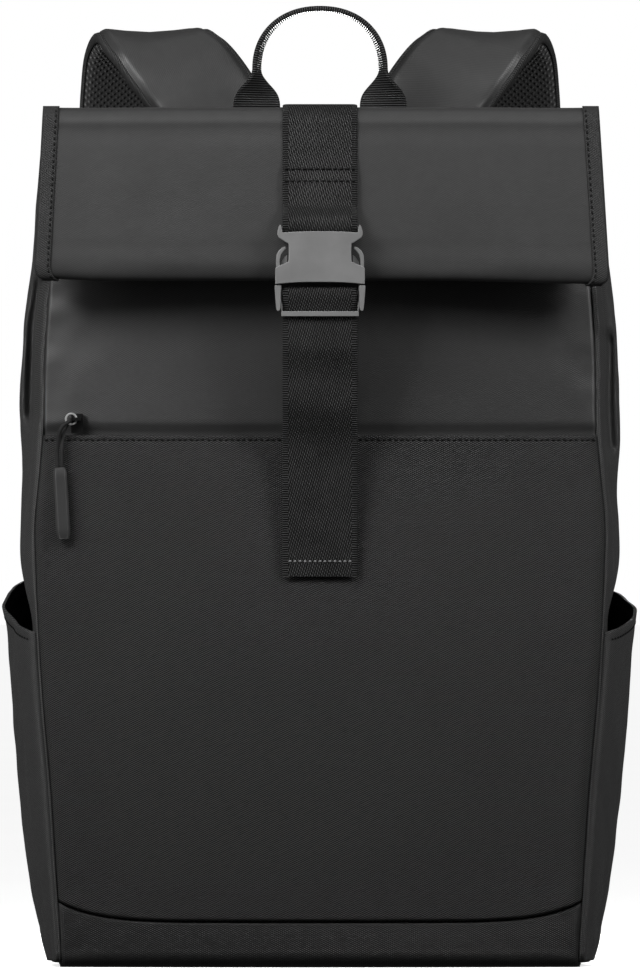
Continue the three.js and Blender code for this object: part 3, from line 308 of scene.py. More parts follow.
class Graph:
    """A material's nodes, with short names for the ones that are used a lot."""

    def __init__(self, name):
        self.material = bpy.data.materials.new(name)
        self.material.use_nodes = True
        self.tree = self.material.node_tree
        self.shader = self.tree.nodes["Principled BSDF"]

    def node(self, kind, **settings):
        made = self.tree.nodes.new(kind)
        for key, value in settings.items():
            setattr(made, key, value)
        return made

    def link(self, source, target):
        self.tree.links.new(source, target)

    def math(self, operation, a, b=0.0):
        made = self.node("ShaderNodeMath", operation=operation)
        for socket, value in zip(made.inputs, (a, b)):
            if isinstance(value, (int, float)):
                socket.default_value = value
            else:
                self.link(value, socket)
        return made.outputs[0]

    def uv(self):
        split = self.node("ShaderNodeSeparateXYZ")
        self.link(self.node("ShaderNodeUVMap", uv_map="cloth").outputs[0], split.inputs[0])
        return split.outputs[0], split.outputs[1]

    def place_noise(self, scale, detail=3.0, rough=0.55):
        made = self.node("ShaderNodeTexNoise")
        made.inputs["Scale"].default_value = scale
        made.inputs["Detail"].default_value = detail
        made.inputs["Roughness"].default_value = rough
        self.link(self.node("ShaderNodeTexCoord").outputs["Object"], made.inputs["Vector"])
        return made.outputs["Fac"]

    def row_noise(self, u, v, pitch):
        """Noise drawn out along the slanting rows of a weave."""
        along = self.math("ADD", self.math("MULTIPLY", u, 0.9), self.math("MULTIPLY", v, 0.45))
        off = self.math("SUBTRACT", self.math("MULTIPLY", v, 0.9), self.math("MULTIPLY", u, 0.45))
        place = self.node("ShaderNodeCombineXYZ")
        self.link(self.math("MULTIPLY", along, 0.28), place.inputs[0])
        self.link(off, place.inputs[1])
        made = self.node("ShaderNodeTexNoise")
        made.inputs["Scale"].default_value = 0.8 / (pitch * MM)
        made.inputs["Detail"].default_value = 2.0
        self.link(place.outputs[0], made.inputs["Vector"])
        return made.outputs["Fac"]

    def ramp(self, value, stops):
        made = self.node("ShaderNodeValToRGB")
        made.color_ramp.elements[0].position = stops[0][0]
        made.color_ramp.elements[0].color = (*stops[0][1], 1)
        made.color_ramp.elements[1].position = stops[1][0]
        made.color_ramp.elements[1].color = (*stops[1][1], 1)
        self.link(value, made.inputs["Fac"])
        return made.outputs["Color"]

    def spread(self, value, low, high):
        made = self.node("ShaderNodeMapRange")
        made.inputs["To Min"].default_value = low
        made.inputs["To Max"].default_value = high
        self.link(value, made.inputs["Value"])
        return made.outputs["Result"]

    def bump(self, height, strength, distance, under=None):
        made = self.node("ShaderNodeBump")
        made.inputs["Strength"].default_value = strength
        made.inputs["Distance"].default_value = distance
        self.link(height, made.inputs["Height"])
        if under is not None:
            self.link(under, made.inputs["Normal"])
        self.link(made.outputs["Normal"], self.shader.inputs["Normal"])
        return made.outputs["Normal"]

    def set(self, **values):
        for key, value in values.items():
            self.shader.inputs[key.replace("_", " ")].default_value = value


def grey(level, warm=0.0):
    return (level * (1 + warm), level, level * (1 - warm))


def woven_material(name, level, pitch, weave, roughness, contrast=0.3, sheen=0.0, specular=0.5, rows=0.0):
    """Coated cloth: slanting rows of small threads, slightly mottled, with painted highlights on the threads' crests
    and painted shade between them.
    """
    g = Graph(name)
    u, v = g.uv()
    turn = 2 * math.pi / (pitch * MM)
    slant = g.math("SUBTRACT", g.math("MULTIPLY", v, turn), g.math("MULTIPLY", u, 0.5 * turn))
    ridge = g.math("SINE", slant)
    column = g.math("SINE", g.math("MULTIPLY", u, turn))
    thread = g.math("ADD", ridge, g.math("MULTIPLY", g.math("MULTIPLY", ridge, column), 0.8))
    thread = g.math("MULTIPLY", thread, g.math("ADD", g.math("MULTIPLY", g.place_noise(420, 1), 1.2), 0.1))
    patches = g.place_noise(13, 4)
    slub = g.place_noise(160, 2)
    tone = g.math("ADD", g.math("MULTIPLY", patches, 0.5), g.math("MULTIPLY", slub, 0.5))
    tone = g.math("ADD", g.math("MULTIPLY", g.math("SUBTRACT", tone, 0.5), 0.5), 0.5)
    # The threads' crests are painted lighter and the gaps between them darker: painted highlight and painted shade of
    # the weave.
    tone = g.math("ADD", tone, g.math("MULTIPLY", thread, contrast * 0.35))
    wear = g.math("ADD", patches, g.math("MULTIPLY", thread, -0.2))
    if rows:
        # With rows, the crests get a strong painted highlight in the base colour; the drift along the rows is the
        # cloth's own uneven tone.
        crest_highlight = g.math("POWER", g.math("MULTIPLY", g.math("ADD", ridge, 1.0), 0.5), 3.0)
        drift = g.math("SUBTRACT", g.row_noise(u, v, pitch), 0.5)
        uneven = g.math("ADD", g.math("MULTIPLY", drift, 2.0 * rows), 0.5)
        tone = g.math("ADD", g.math("MULTIPLY", tone, 1 - rows), g.math("MULTIPLY", crest_highlight, rows * 2.8))
        tone = g.math("MULTIPLY", tone, g.math("ADD", uneven, 0.45))
        wear = g.math("SUBTRACT", 1.1, g.math("MULTIPLY", tone, 1.2))
    g.link(g.ramp(tone, [(0.0, grey(level * 0.05)), (1.0, grey(level * 2.1))]), g.shader.inputs["Base Color"])
    reach = 0.06 + 0.3 * rows
    g.link(g.spread(wear, roughness - reach, roughness + reach), g.shader.inputs["Roughness"])
    soft = g.bump(g.place_noise(45, 3), 0.2, 0.0014)
    g.bump(thread, weave, 0.00022, soft)
    g.set(Specular_IOR_Level=specular, Sheen_Weight=sheen, Sheen_Roughness=0.5)
    return g.material


def webbing_material(name, level, pitch=1.16, half=WEBBING_WIDTH / 2, selvedge=2.8, lean=0.3, weave=1.0):
    """Twill webbing: steep slanting threads, with ribs along both edges; the thread tops are painted as highlights and
    the hollows between them as shade.
    """
    g = Graph(name)
    u, v = g.uv()
    turn = 2 * math.pi / (pitch * MM)
    slant = g.math("ADD", g.math("MULTIPLY", u, turn), g.math("MULTIPLY", v, lean * turn))
    threads = g.math("SINE", slant)
    cross = g.math("ADD", g.math("MULTIPLY", v, 2 * math.pi / (2.1 * MM)), g.math("MULTIPLY", u, -0.62 * turn))
    segments = g.math("SINE", cross)
    face = g.math("ADD", g.math("MULTIPLY", threads, 0.95), g.math("MULTIPLY", segments, 0.45))
    ribs = g.math("SINE", g.math("MULTIPLY", v, turn))
    edge = g.math("GREATER_THAN", g.math("ABSOLUTE", u), (half - selvedge) * MM)
    mixed = g.node("ShaderNodeMix", data_type="FLOAT")
    g.link(edge, mixed.inputs[0])
    g.link(face, mixed.inputs[2])
    g.link(ribs, mixed.inputs[3])
    height = mixed.outputs[0]
    uneven = g.math("SUBTRACT", g.place_noise(60, 3), 0.5)
    tone = g.math("ADD", g.math("MULTIPLY", g.math("ADD", height, 1.0), 0.5), g.math("MULTIPLY", uneven, 0.5))
    # Base colour from the thread height, from nearly black to six times the level: painted highlights on the thread
    # tops and painted shade between them, mixed with the webbing's own uneven tone.
    g.link(g.ramp(tone, [(0.42, grey(level * 0.02)), (1.0, grey(level * 6.0))]), g.shader.inputs["Base Color"])
    g.link(g.spread(tone, 0.95, 0.3), g.shader.inputs["Roughness"])
    g.bump(height, weave, 0.00035)
    g.set(Specular_IOR_Level=0.3)
    return g.material


def mesh_material(name, level):
    """Spacer mesh: rows of small rounded holes, painted dark as the shade inside them."""
    g = Graph(name)
    u, v = g.uv()
    turn = 2 * math.pi / (3.4 * MM)
    a = g.math("COSINE", g.math("MULTIPLY", g.math("ADD", u, v), turn * 0.5))
    b = g.math("COSINE", g.math("MULTIPLY", g.math("SUBTRACT", u, v), turn * 0.5))
    cells = g.math("MULTIPLY", a, b)
    cells = g.math("MULTIPLY", cells, cells)
    # The holes are painted near black: painted shade inside them.
    g.link(g.ramp(cells, [(0.15, grey(level)), (0.6, grey(level * 0.12))]), g.shader.inputs["Base Color"])
    g.bump(g.math("MULTIPLY", cells, -1.0), 1.0, 0.0012)
    g.set(Roughness=0.85, Specular_IOR_Level=0.2, Sheen_Weight=0.2, Sheen_Roughness=0.6)
    return g.material


def moulded_material(name, level, roughness, metallic=0.0, grain=0.25, specular=0.5):
    """Moulded plastic or rubber with a fine spark-eroded grain."""
    g = Graph(name)
    fine = g.place_noise(2600, 2)
    wide = g.place_noise(60, 3)
    g.link(g.ramp(wide, [(0.3, grey(level * 0.9)), (0.7, grey(level * 1.1))]), g.shader.inputs["Base Color"])
    g.link(g.spread(fine, roughness - 0.06, roughness + 0.1), g.shader.inputs["Roughness"])
    g.bump(fine, grain, 0.00008)
    g.set(Metallic=metallic, Specular_IOR_Level=specular)
    return g.material


def metal_material(name, level, roughness, metallic=1.0):
    g = Graph(name)
    scratches = g.place_noise(400, 4)
    g.link(g.ramp(scratches, [(0.3, grey(level * 0.85)), (0.7, grey(level))]), g.shader.inputs["Base Color"])
    g.link(g.spread(scratches, roughness, roughness + 0.15), g.shader.inputs["Roughness"])
    g.bump(scratches, 0.1, 0.00005)
    g.set(Metallic=metallic)
    return g.material


def thread_material(name, level):
    g = Graph(name)
    twist = g.place_noise(1500, 2)
    g.link(g.ramp(twist, [(0.3, grey(level * 0.7)), (0.7, grey(level * 1.3))]), g.shader.inputs["Base Color"])
    g.bump(twist, 0.4, 0.0001)
    g.set(Roughness=0.7, Specular_IOR_Level=0.2)
    return g.material


flap_cloth = woven_material("flap_cloth", 0.02, 0.95, 0.14, 0.46, contrast=0.12, sheen=0.03, rows=0.12)
body_cloth = woven_material("body_cloth", 0.017, 0.98, 0.2, 0.46, sheen=0.03, rows=0.25)
pocket_cloth = woven_material("pocket_cloth", 0.033, 1.04, 1.0, 0.6, specular=0.2, rows=0.95)
side_cloth = woven_material("side_cloth", 0.026, 1.04, 0.6, 0.5, specular=0.4, sheen=0.03, rows=0.45)
# Near-black cloth for the side pockets' inner faces: painted shade inside the pockets.
inside_shade_cloth = woven_material("inside_shade_cloth", 0.003, 0.8, 0.2, 0.9, specular=0.05)
# The base's cloth is side_cloth at about half its level: painted shade, darker towards the bottom of the bag.
base_shaded_weave = woven_material("base_shaded_weave", 0.014, 1.04, 0.6, 0.5, specular=0.35, rows=0.45)
binding_cloth = woven_material("binding_cloth", 0.02, 0.9, 0.6, 0.65, specular=0.3, rows=0.5)
upper_webbing = webbing_material("upper_webbing", 0.006, lean=-0.26, weave=0.7)
webbing = webbing_material("webbing", 0.011, weave=1.4)
handle_webbing = webbing_material("handle_webbing", 0.012, half=HANDLE_WIDTH / 2, selvedge=HANDLE_WIDTH / 2)
strap_webbing = webbing_material("strap_webbing", 0.012, half=12.5, selvedge=2.0)
air_mesh = mesh_material("air_mesh", 0.013)
buckle_plastic = moulded_material("buckle_plastic", 0.205, 0.5, metallic=0.25, grain=0.15)
slider_metal = metal_material("slider_metal", 0.03, 0.4)
ring_steel = metal_material("ring_steel", 0.5, 0.3, metallic=0.3)
sleeve_rubber = moulded_material("sleeve_rubber", 0.024, 0.5)
black_thread = thread_material("black_thread", 0.003)
cord_cloth = thread_material("cord_cloth", 0.016)
hem_thread = thread_material("hem_thread", 0.2)


# Camera and light

LENS = 900.0
SENSOR = 36.0
FRAME_HEIGHT = 486.0
AIM_HEIGHT = 241.0
FRONT_PLANE = -62.0


def add_camera():
    data = bpy.data.cameras.new("camera")
    data.lens = LENS
    data.sensor_width = SENSOR
    data.clip_end = 200
    camera = bpy.data.objects.new("camera", data)
    distance = LENS / SENSOR * FRAME_HEIGHT
    camera.location = Vector((0, FRONT_PLANE - distance, AIM_HEIGHT)) * MM
    camera.rotation_euler = (math.pi / 2, 0, 0)
    bpy.context.scene.collection.objects.link(camera)
    bpy.context.scene.camera = camera


def add_light(name, place, aim, size, power):
    data = bpy.data.lights.new(name, "AREA")
    data.shape = "RECTANGLE"
    data.size, data.size_y = size
    data.energy = power
    light = bpy.data.objects.new(name, data)
    light.visible_camera = False
    light.location = place
    light.rotation_euler = (Vector(aim) - Vector(place)).to_track_quat("-Z", "Y").to_euler()
    bpy.context.scene.collection.objects.link(light)


def add_world():
    """A white room: plain white where the camera sees it, and dimmer as a light."""
    world = bpy.data.worlds.new("room")
    world.use_nodes = True
    tree = world.node_tree
    background = tree.nodes["Background"]
    background.inputs["Color"].default_value = (1, 1, 1, 1)
    seen = tree.nodes.new("ShaderNodeLightPath")
    strength = tree.nodes.new("ShaderNodeMapRange")
    strength.inputs["To Min"].default_value = 0.05
    strength.inputs["To Max"].default_value = 1.0
    tree.links.new(seen.outputs["Is Camera Ray"], strength.inputs["Value"])
    tree.links.new(strength.outputs["Result"], background.inputs["Strength"])
    bpy.context.scene.world = world


def add_floor():
    mesh = bpy.data.meshes.new("floor")
    reach = 30.0
    mesh.from_pydata([(-reach, -reach, 0), (reach, -reach, 0), (reach, reach, 0), (-reach, reach, 0)], [], [(0, 1, 2, 3)])
    floor = bpy.data.objects.new("floor", mesh)
    bpy.context.scene.collection.objects.link(floor)
    g = Graph("pale_floor")
    g.link(g.ramp(g.place_noise(3, 2), [(0.3, grey(0.86)), (0.7, grey(0.9))]), g.shader.inputs["Base Color"])
    g.set(Roughness=0.9, Specular_IOR_Level=0.1, Emission_Color=(1, 1, 1, 1), Emission_Strength=0.72)
    mesh.materials.append(g.material)
    floor.visible_diffuse = False
    floor.visible_glossy = False


def add_sky():
    """One very soft light from above, which keeps the floor evenly pale as far as it goes."""
    data = bpy.data.lights.new("sky", "SUN")
    data.energy = 0.6
    data.angle = math.radians(60)
    sky = bpy.data.objects.new("sky", data)
    sky.rotation_euler = (math.radians(4), 0, 0)
    bpy.context.scene.collection.objects.link(sky)


bpy.context.scene.view_settings.view_transform = "Standard"
add_camera()
add_world()
add_floor()
add_sky()
add_light("left_high", (-0.75, -0.8, 0.95), (0, 0, 0.25), (0.45, 0.5), 11.0)
add_light("left_side", (-0.9, -0.45, 0.5), (0, 0, 0.3), (0.4, 0.6), 2.5)
add_light("right_high", (0.85, -0.75, 0.9), (0, 0, 0.25), (0.35, 0.5), 8.6)
add_light("right_side", (0.9, -0.45, 0.5), (0, 0, 0.3), (0.4, 0.6), 1.1)
add_light("top_front", (0, -0.9, 1.2), (0, 0, 0.4), (1.0, 0.4), 1.9)
add_light("top_steep", (0, -0.4, 1.2), (0, 0, 0.4), (1.0, 0.3), 0.3)
add_light("back_box", (0, 0.9, 0.22), (0, 0.06, 0.22), (0.22, 0.34), 5.0)


# The body's shape

seam_share = eased(SECTIONS[:, 0], SECTIONS[:, 1])
side_share = eased(SECTIONS[:, 0], SECTIONS[:, 2])
front_share = eased(SECTIONS[:, 0], SECTIONS[:, 3])


def seam_half(z):
    return HALF_WIDTH * seam_share(z / WALL_HEIGHT)


def front_y(z):
    down = np.maximum(0, BASE_ROUND - z)
    rounding = BASE_ROUND - np.sqrt(np.maximum(0, BASE_ROUND**2 - down**2))
    return -BODY_DEPTH * front_share(np.maximum(z, BASE_ROUND) / WALL_HEIGHT) + rounding


def base_seam(share):
    return BASE_SEAM_HEIGHT + BASE_SEAM_RISE * np.abs(share) ** 7


def edge_roll(distance, radius):
    """How far a cloth edge turns in at a distance from its seam."""
    inside = np.clip(radius - distance, 0, radius)
    return radius - np.sqrt(np.maximum(0, radius**2 - inside**2))


def front_ripple(x, z):
    """Slow waves and small wrinkles of the front cloth, in millimetres out."""
    slow = 0.5 * noise(x / 62 + 3, z / 80, 4) + 0.16 * noise(x / 24, z / 30, 5)
    edge = np.exp(-np.maximum(0, seam_half(z) - np.abs(x)) / 14)
    small = 0.5 * edge * noise(x / 11, z / 8, 6)
    corner = np.exp(-np.maximum(0, z - 12) / 26) * np.exp(-np.maximum(0, seam_half(z) - np.abs(x)) / 22)
    pucker = 0.6 * corner * noise((np.abs(x) + z) / 7, (np.abs(x) - z) / 40, 7)
    return slow + small + pucker


def share_row(columns, ease=0.75):
    """Shares from -1 to 1, closer together towards the ends."""
    t = np.linspace(-1, 1, columns)
    return lerp(t, np.sin(t * math.pi / 2), ease)


def side_half(z, s, side):
    seam = seam_half(z)
    bulge = HALF_WIDTH * side_share(z / WALL_HEIGHT) - seam
    half = seam + bulge * np.sin(math.pi * np.minimum(s, 0.5)) ** 0.8 - np.maximum(0, s - 0.5) * bulge * 0.6
    for fold_side, rise, reach, place, spread, press in GUSSET_FOLDS:
        if fold_side == side:
            half = half - press * 7 * np.exp(
                -(((z / WALL_HEIGHT - rise) / reach) ** 2) - ((s - place) / spread) ** 2
            )
    return half


def front_panel():
    shares = share_row(150)[None, :]
    rows = np.linspace(0, 1, 190)[:, None]
    low = base_seam(shares) + GAP
    z = lerp(low, WALL_HEIGHT, rows)
    half = seam_half(z) - GAP - 0.5
    x = shares * half
    y = front_y(z) + FRONT_CROWN * shares**2
    y = y + 1.5 * smooth((272 - z) / 4)
    inside = smooth((z - POCKET_TOP + 8) / 14)
    y = y - inside * front_ripple(x, z) * smooth((WALL_HEIGHT - z) / 60)
    y = y - 6.5 * smooth((z - 348) / 14) * smooth((416 - z) / 14) * (1 - shares**4)
    y = y + edge_roll(half - np.abs(x), 2.0)
    points = np.stack([x, y, z], -1)
    piece = sheet_piece("front_panel_cloth", points, body_cloth, 1.6)
    finish_piece(piece, "coated_cloth", "front_panel")


def pocket_face(x, z):
    """The front pocket's outer face."""
    share = x / seam_half(z)
    rise = np.clip((z - BASE_SEAM_HEIGHT) / (POCKET_TOP - BASE_SEAM_HEIGHT), 0, 1)
    stand = GAP + 1.5 * smooth(1.1 * rise) + POCKET_FULLNESS * np.sin(math.pi * rise) * (1 - share**2) + POCKET_CLOTH
    return front_y(z) + FRONT_CROWN * share**2 - stand


def front_pocket():
    shares = share_row(170)[None, :]
    rows = 1 - (1 - np.linspace(0, 1, 200)[:, None]) ** 1.15
    z = lerp(base_seam(shares) + GAP, POCKET_TOP, rows)
    half = seam_half(z) - GAP - 0.5
    x = shares * half
    y = pocket_face(x, z)
    y = y - front_ripple(x, z) * smooth((POCKET_TOP - z) / 20)
    y = y + 0.55 * np.exp(-(((z - 264.0) / 0.7) ** 2))
    y = y + edge_roll(POCKET_TOP - z, 1.3)
    y = y + edge_roll(z - base_seam(shares) - GAP, 0.9) * 0.7
    y = y + edge_roll(half - np.abs(x), 5.0) * 0.85
    points = np.stack([x, y, z], -1)
    piece = sheet_piece("front_pocket_cloth", points, pocket_cloth, 1.3)
    finish_piece(piece, "coated_cloth", "front_pocket_panel")
    across = np.linspace(-138.5, 138.5, 400)
    line = np.stack([across, pocket_face(across, 264.0) + 0.3, np.full_like(across, 264.0)], 1)
    row = stitches("front_pocket_stitches", line, (0, -1, 0.05), black_thread, length=2.0, gap=0.9, radius=0.55)
    finish_piece(row, "webbing")


def zip_tape():
    rows = np.linspace(252, 264, 5)[:, None]
    shares = np.linspace(-1, 1, 60)[None, :]
    z = rows + 0 * shares
    x = shares * 132.5 + 0 * rows
    y = front_y(z) + FRONT_CROWN * (x / (seam_half(z) - GAP)) ** 2 - 1.4
    piece = sheet_piece("zip_tape_cloth", np.stack([x, y, z], -1), binding_cloth, 1.0)
    finish_piece(piece, "webbing", "zip_tape")


def base_panel():
    shares = share_row(150)[None, :]
    turn = np.linspace(0, 1, 40)[:, None]
    top = base_seam(shares) - 0.2
    front_z = top * (1 - np.sin(turn * math.pi / 2))
    half = seam_half(front_z) - GAP
    x = shares * half
    y = front_y(front_z) + FRONT_CROWN * shares**2 - 0.6
    y = y + edge_roll(top - front_z, 0.8) * 0.6 + edge_roll(half - np.abs(x), 3.5)
    y = y - front_ripple(x, front_z) * smooth(front_z / 8)
    under = np.linspace(0, 1, 40)[1:, None]
    low_y = lerp(y[-1:], BACK_Y - 2, under)
    low_x = x[-1:] + 0 * under
    rise = 1.1 + 0.9 * (np.abs(shares) ** 12) - 1.0 * np.exp(-under * 14)
    low_z = np.maximum(0.05, rise * smooth(under * 8) * 0.8) + 0 * shares
    points = np.concatenate([np.stack([x, y, np.maximum(front_z, 0.02)], -1), np.stack([low_x, low_y, low_z], -1)])
    piece = sheet_piece("base_cloth", points, base_shaded_weave, 1.4, flip=True)
    finish_piece(piece, "coated_cloth", "base_panel")


def side_gusset(side, ending):
    s = (1 - np.cos(np.linspace(0, math.pi, 90))) / 2
    s = lerp(np.linspace(0, 1, 90), s, 0.6)[None, :]
    z = lerp(WALL_FOOT, WALL_HEIGHT, np.linspace(0, 1, 260)[:, None])
    widening = 1.4 * smooth((z - 172) / 22) - 1.5 * np.exp(-(((z - 241) / 20) ** 2))
    half = side_half(z, s, side) + widening * smooth(s * 8)
    seam_y = front_y(z) + FRONT_CROWN
    y = lerp(seam_y + 0.5, BACK_Y, s**1.25)
    foot, head, off, depth = GUSSET_GROOVES[side]
    place = (half - seam_half(z) - off * smooth((380 - z) / 60)) / 3.4
    pinch = depth * smooth((z - foot) / 9) * smooth((head - z) / 9) * np.exp(-(place**2))
    ridge = 1.6 * smooth((z - foot + 6) / 12) * np.exp(-(((half - seam_half(z) - 1.7) / 1.1) ** 2))
    from_seam = (y - seam_y) + 0.4 * (half - seam_half(z))
    wrinkle = 0.7 * noise(y / 22 + 9, z / 26, 21 + side) + 0.35 * noise(y / 9, z / 14, 31 + side)
    wrinkle = wrinkle * smooth(from_seam / 8)
    half = half + wrinkle * 0.8 - edge_roll(from_seam, 2.4)
    wavy = 0.8 * noise(z / 9, 0, 71 + side) * smooth((z - 268) / 10)
    y = y + (pinch - ridge * (1 + 0.5 * wavy)) * smooth((0.5 - s) * 6)
    half = half + 0.25 + 0.4 * wavy * np.exp(-s * 12)
    points = np.stack([side * half, y, z + 0 * s], -1)
    piece = sheet_piece(f"gusset_cloth_{ending}", points, side_cloth, 1.4, flip=side < 0)
    finish_piece(piece, "coated_cloth", f"side_gusset_{ending}")


def side_pocket(side, ending):
    s = np.linspace(0.0, 1, 80)[None, :]
    rows = np.linspace(0, 1, 150)[:, None]
    mouth = lerp(168.0, 193.5 if side < 0 else 188.0, s)
    z = lerp(3.0, mouth, rows)
    swell = np.clip((z - 20) / 160.75, 0, 1) ** 0.8 * np.maximum(np.sin(math.pi * s), 0) ** 0.7
    half = side_half(z, s, side) + GAP + 12.6 * swell + 1.6
    seam_y = front_y(z) + FRONT_CROWN
    y = lerp(seam_y + 0.8, BACK_Y, s)
    wrinkle = 0.8 * noise(y / 20 + 5, z / 34, 41 + side) + 0.3 * noise(y / 8, z / 12, 51 + side)
    below = mouth - z
    hem = 0.5 * np.exp(-(((below - 5) / 0.9) ** 2))
    half = half + wrinkle * smooth(np.minimum(s, 1 - s) * 9) - hem + 0.3 * smooth((6 - below) / 2)
    half = half - edge_roll((y - seam_y) * 0.8, 3.2)
    points = np.stack([side * half, y, z], -1)
    # The pocket's inner faces take the near-black cloth: painted shade inside the pocket.
    piece = sheet_piece(f"side_pocket_cloth_{ending}", points, side_cloth, 1.5, flip=side < 0, inside=inside_shade_cloth)
    finish_piece(piece, "coated_cloth", f"side_pocket_{ending}")
    rows_down = int(round((1 - 5.0 / 175) * 149))
    seam = points[rows_down, 2:-2]
    out = unit(np.cross(np.gradient(seam, axis=0), points[rows_down + 1, 2:-2] - seam)) * side
    row = stitches(f"side_pocket_stitches_{ending}", seam, out, black_thread, length=2.0, gap=0.9, radius=0.5)
    finish_piece(row, "webbing")


def back_panel():
    shares = share_row(120, 0.4)[None, :]
    z = lerp(WALL_FOOT, WALL_HEIGHT, np.linspace(0, 1, 200)[:, None])
    half = side_half(z, 1.0, 1) - GAP
    x = shares * half
    edge = np.minimum(half - np.abs(x), np.minimum(z - WALL_FOOT, WALL_HEIGHT - z))
    spine = np.exp(-((x / 9) ** 2)) * smooth((z - 60) / 30) * smooth((370 - z) / 30)
    cross = sum(np.exp(-(((z - height) / 5) ** 2)) for height in (110, 200, 290))
    cross = cross * smooth((118 - np.abs(x)) / 12)
    depth = 4.5 * (1 - smooth(edge / 16)) + 4.0 * np.maximum(spine, cross)
    y = BACK_Y - depth
    points = np.stack([x, y, z + 0 * shares], -1)
    piece = sheet_piece("back_pad", points, air_mesh, 6, flip=True)
    finish_piece(piece, "air_mesh", "back_panel")


# The rolled mouth


def roll_half(z, side=1):
    """Half the flap's width, which differs a little from side to side, with rounded lower corners."""
    down = (BAG_HEIGHT - z) / ROLL_DROP
    half = lerp(139.5, 144.9, down) if side > 0 else lerp(138.6, 143.0, down)
    corner = np.clip((350.5 - z) / 7.2, 0, 1)
    return half - 4.0 * (1 - np.sqrt(1 - corner**2))


def hem_curve(radius):
    """The flap's lower fold: flat to near its foot, then a tight turn."""
    angles = np.radians(np.linspace(180, 360, 33))
    across, down = np.cos(angles), np.sin(angles)
    power = 2 / 5
    y = -71.5 + radius * np.sign(across) * np.abs(across) ** power
    z = 352 - radius * np.abs(down) ** power
    return list(zip(y.tolist(), z.tolist()))


def roll_face_y(z):
    return lerp(-ROLL_FRONT_FOOT, -ROLL_FRONT_TOP, (z - (343.5 + ROLL_HEM)) / (421 - 343.5 - ROLL_HEM))


def roll_path(out):
    """The roll's section as (y, z), from the rear of the top to the rolled-in hem."""
    top = [(60, 430 + out), (40, 430 + out), (0, 430 + out), (-40, 430 + out)]
    corner = arc(-57, 421, ROLL_CORNER + out, 90, 180, 10)
    face = [(roll_face_y(z) - out, z) for z in (410, 398, 386, 374, 362)]
    hem = hem_curve(ROLL_HEM + out)
    curl = arc(-53.6, 408, ROLL_CURL + out, 0, 180, 8)
    inner = [(-59.5 - out, 380)]
    return top, corner, face, hem, inner, curl, (-60.5, 362)


def roll_points(path, inset=0.0):
    shares = share_row(120, 0.6)[None, :]
    left = (roll_half(path[:, 1], -1) - inset)[:, None]
    right = (roll_half(path[:, 1], 1) - inset)[:, None]
    y = path[:, 0][:, None] + 0 * shares
    z = path[:, 1][:, None] + 0 * shares
    x = np.where(shares < 0, shares * left, shares * right)
    return x, y, z


def roll_wave(x, z):
    """How far the flap's lower edge drops and its face bows at a place."""
    low = smooth((400 - z) / 50)
    drop = 1.6 * smooth((x - 60) / 80) - 1.2 * smooth((-x - 110) / 30)
    return low * drop


def roll_top():
    top, corner, face, hem, inner, curl, end = roll_path(0)
    line = smooth_path(top + corner[1:] + face + hem[2:-2], 1.3)
    x, y, z = roll_points(line)
    face_share = smooth((430 - z) / 20)
    ripple = 0.55 * noise(x / 58 + 2, z / 50 + 7, 61) + 0.2 * noise(x / 20, z / 24, 62)
    y = y - face_share * ripple * smooth((z - 345) / 8)
    z = z - roll_wave(x, z) + (1 - face_share) * 0.5 * noise(x / 40, y / 30, 63)
    points = np.stack([x, y, np.minimum(z, 430.6)], -1)
    piece = sheet_piece("roll_cloth", points, flap_cloth, 2.4, flip=True)
    finish_piece(piece, "coated_cloth", "roll_top")
    inside = smooth_path([(-63.2, 352), (-61.5, 372), (-58.5, 396)] + arc(-53.6, 408, ROLL_CURL - 1, 0, 180, 8)[::-1][:6], 2.0)
    x, y, z = roll_points(inside, 0.6)
    layer = sheet_piece("roll_inner_layer", np.stack([x, y, z], -1), flap_cloth, 1.2)
    finish_piece(layer, "coated_cloth")
    middle = smooth_path([(-70, 349.5), (-67.8, 368), (-65.0, 390), (-61.8, 408), (-60.5, 414)], 2.0)
    x, y, z = roll_points(middle, 0.9)
    y = y + 0.5 * noise(x / 40, z / 30, 64)
    layer = sheet_piece("roll_middle_layer", np.stack([x, y, z], -1), flap_cloth, 2.6)
    finish_piece(layer, "coated_cloth")


def roll_binding(side, ending):
    top, corner, face, hem, inner, curl, end = roll_path(1.1)
    line = smooth_path(corner + face + hem[2:24], 1.2)
    across = np.linspace(0, 1, 12)[None, :]
    z = line[:, 1][:, None] + 0 * across
    half = roll_half(z, side) - BINDING_WIDTH * (1 - across)
    y = line[:, 0][:, None] + 0 * across
    out = y + edge_roll((1 - across) * BINDING_WIDTH, 1.2) + edge_roll(across * BINDING_WIDTH, 0.9)
    z = z - roll_wave(side * half, z)
    points = np.stack([side * half, out, z], -1)
    piece = sheet_piece(f"roll_binding_cloth_{ending}", points, binding_cloth, 0.9, flip=side > 0)
    finish_piece(piece, "binding", f"roll_binding_{ending}")
    seam = line[5:-14]
    at = roll_half(seam[:, 1], side) - BINDING_WIDTH + 1.5
    low = seam[:, 1] - roll_wave(side * at, seam[:, 1])
    row = stitches(
        f"roll_binding_stitches_{ending}", np.stack([side * at, seam[:, 0] - 0.05, low], 1),
        (0, -1, 0.2), black_thread, length=2.0, gap=0.9, radius=0.45,
    )
    finish_piece(row, "binding")


# Webbing


def webbing_strip(name, line, width, thickness, material, across=(1, 0, 0)):
    return sweep(name, line, across, flat_outline(width, thickness), material)


def along_yz(points):
    points = np.asarray(points, float)
    return np.column_stack([np.zeros(len(points)), points])


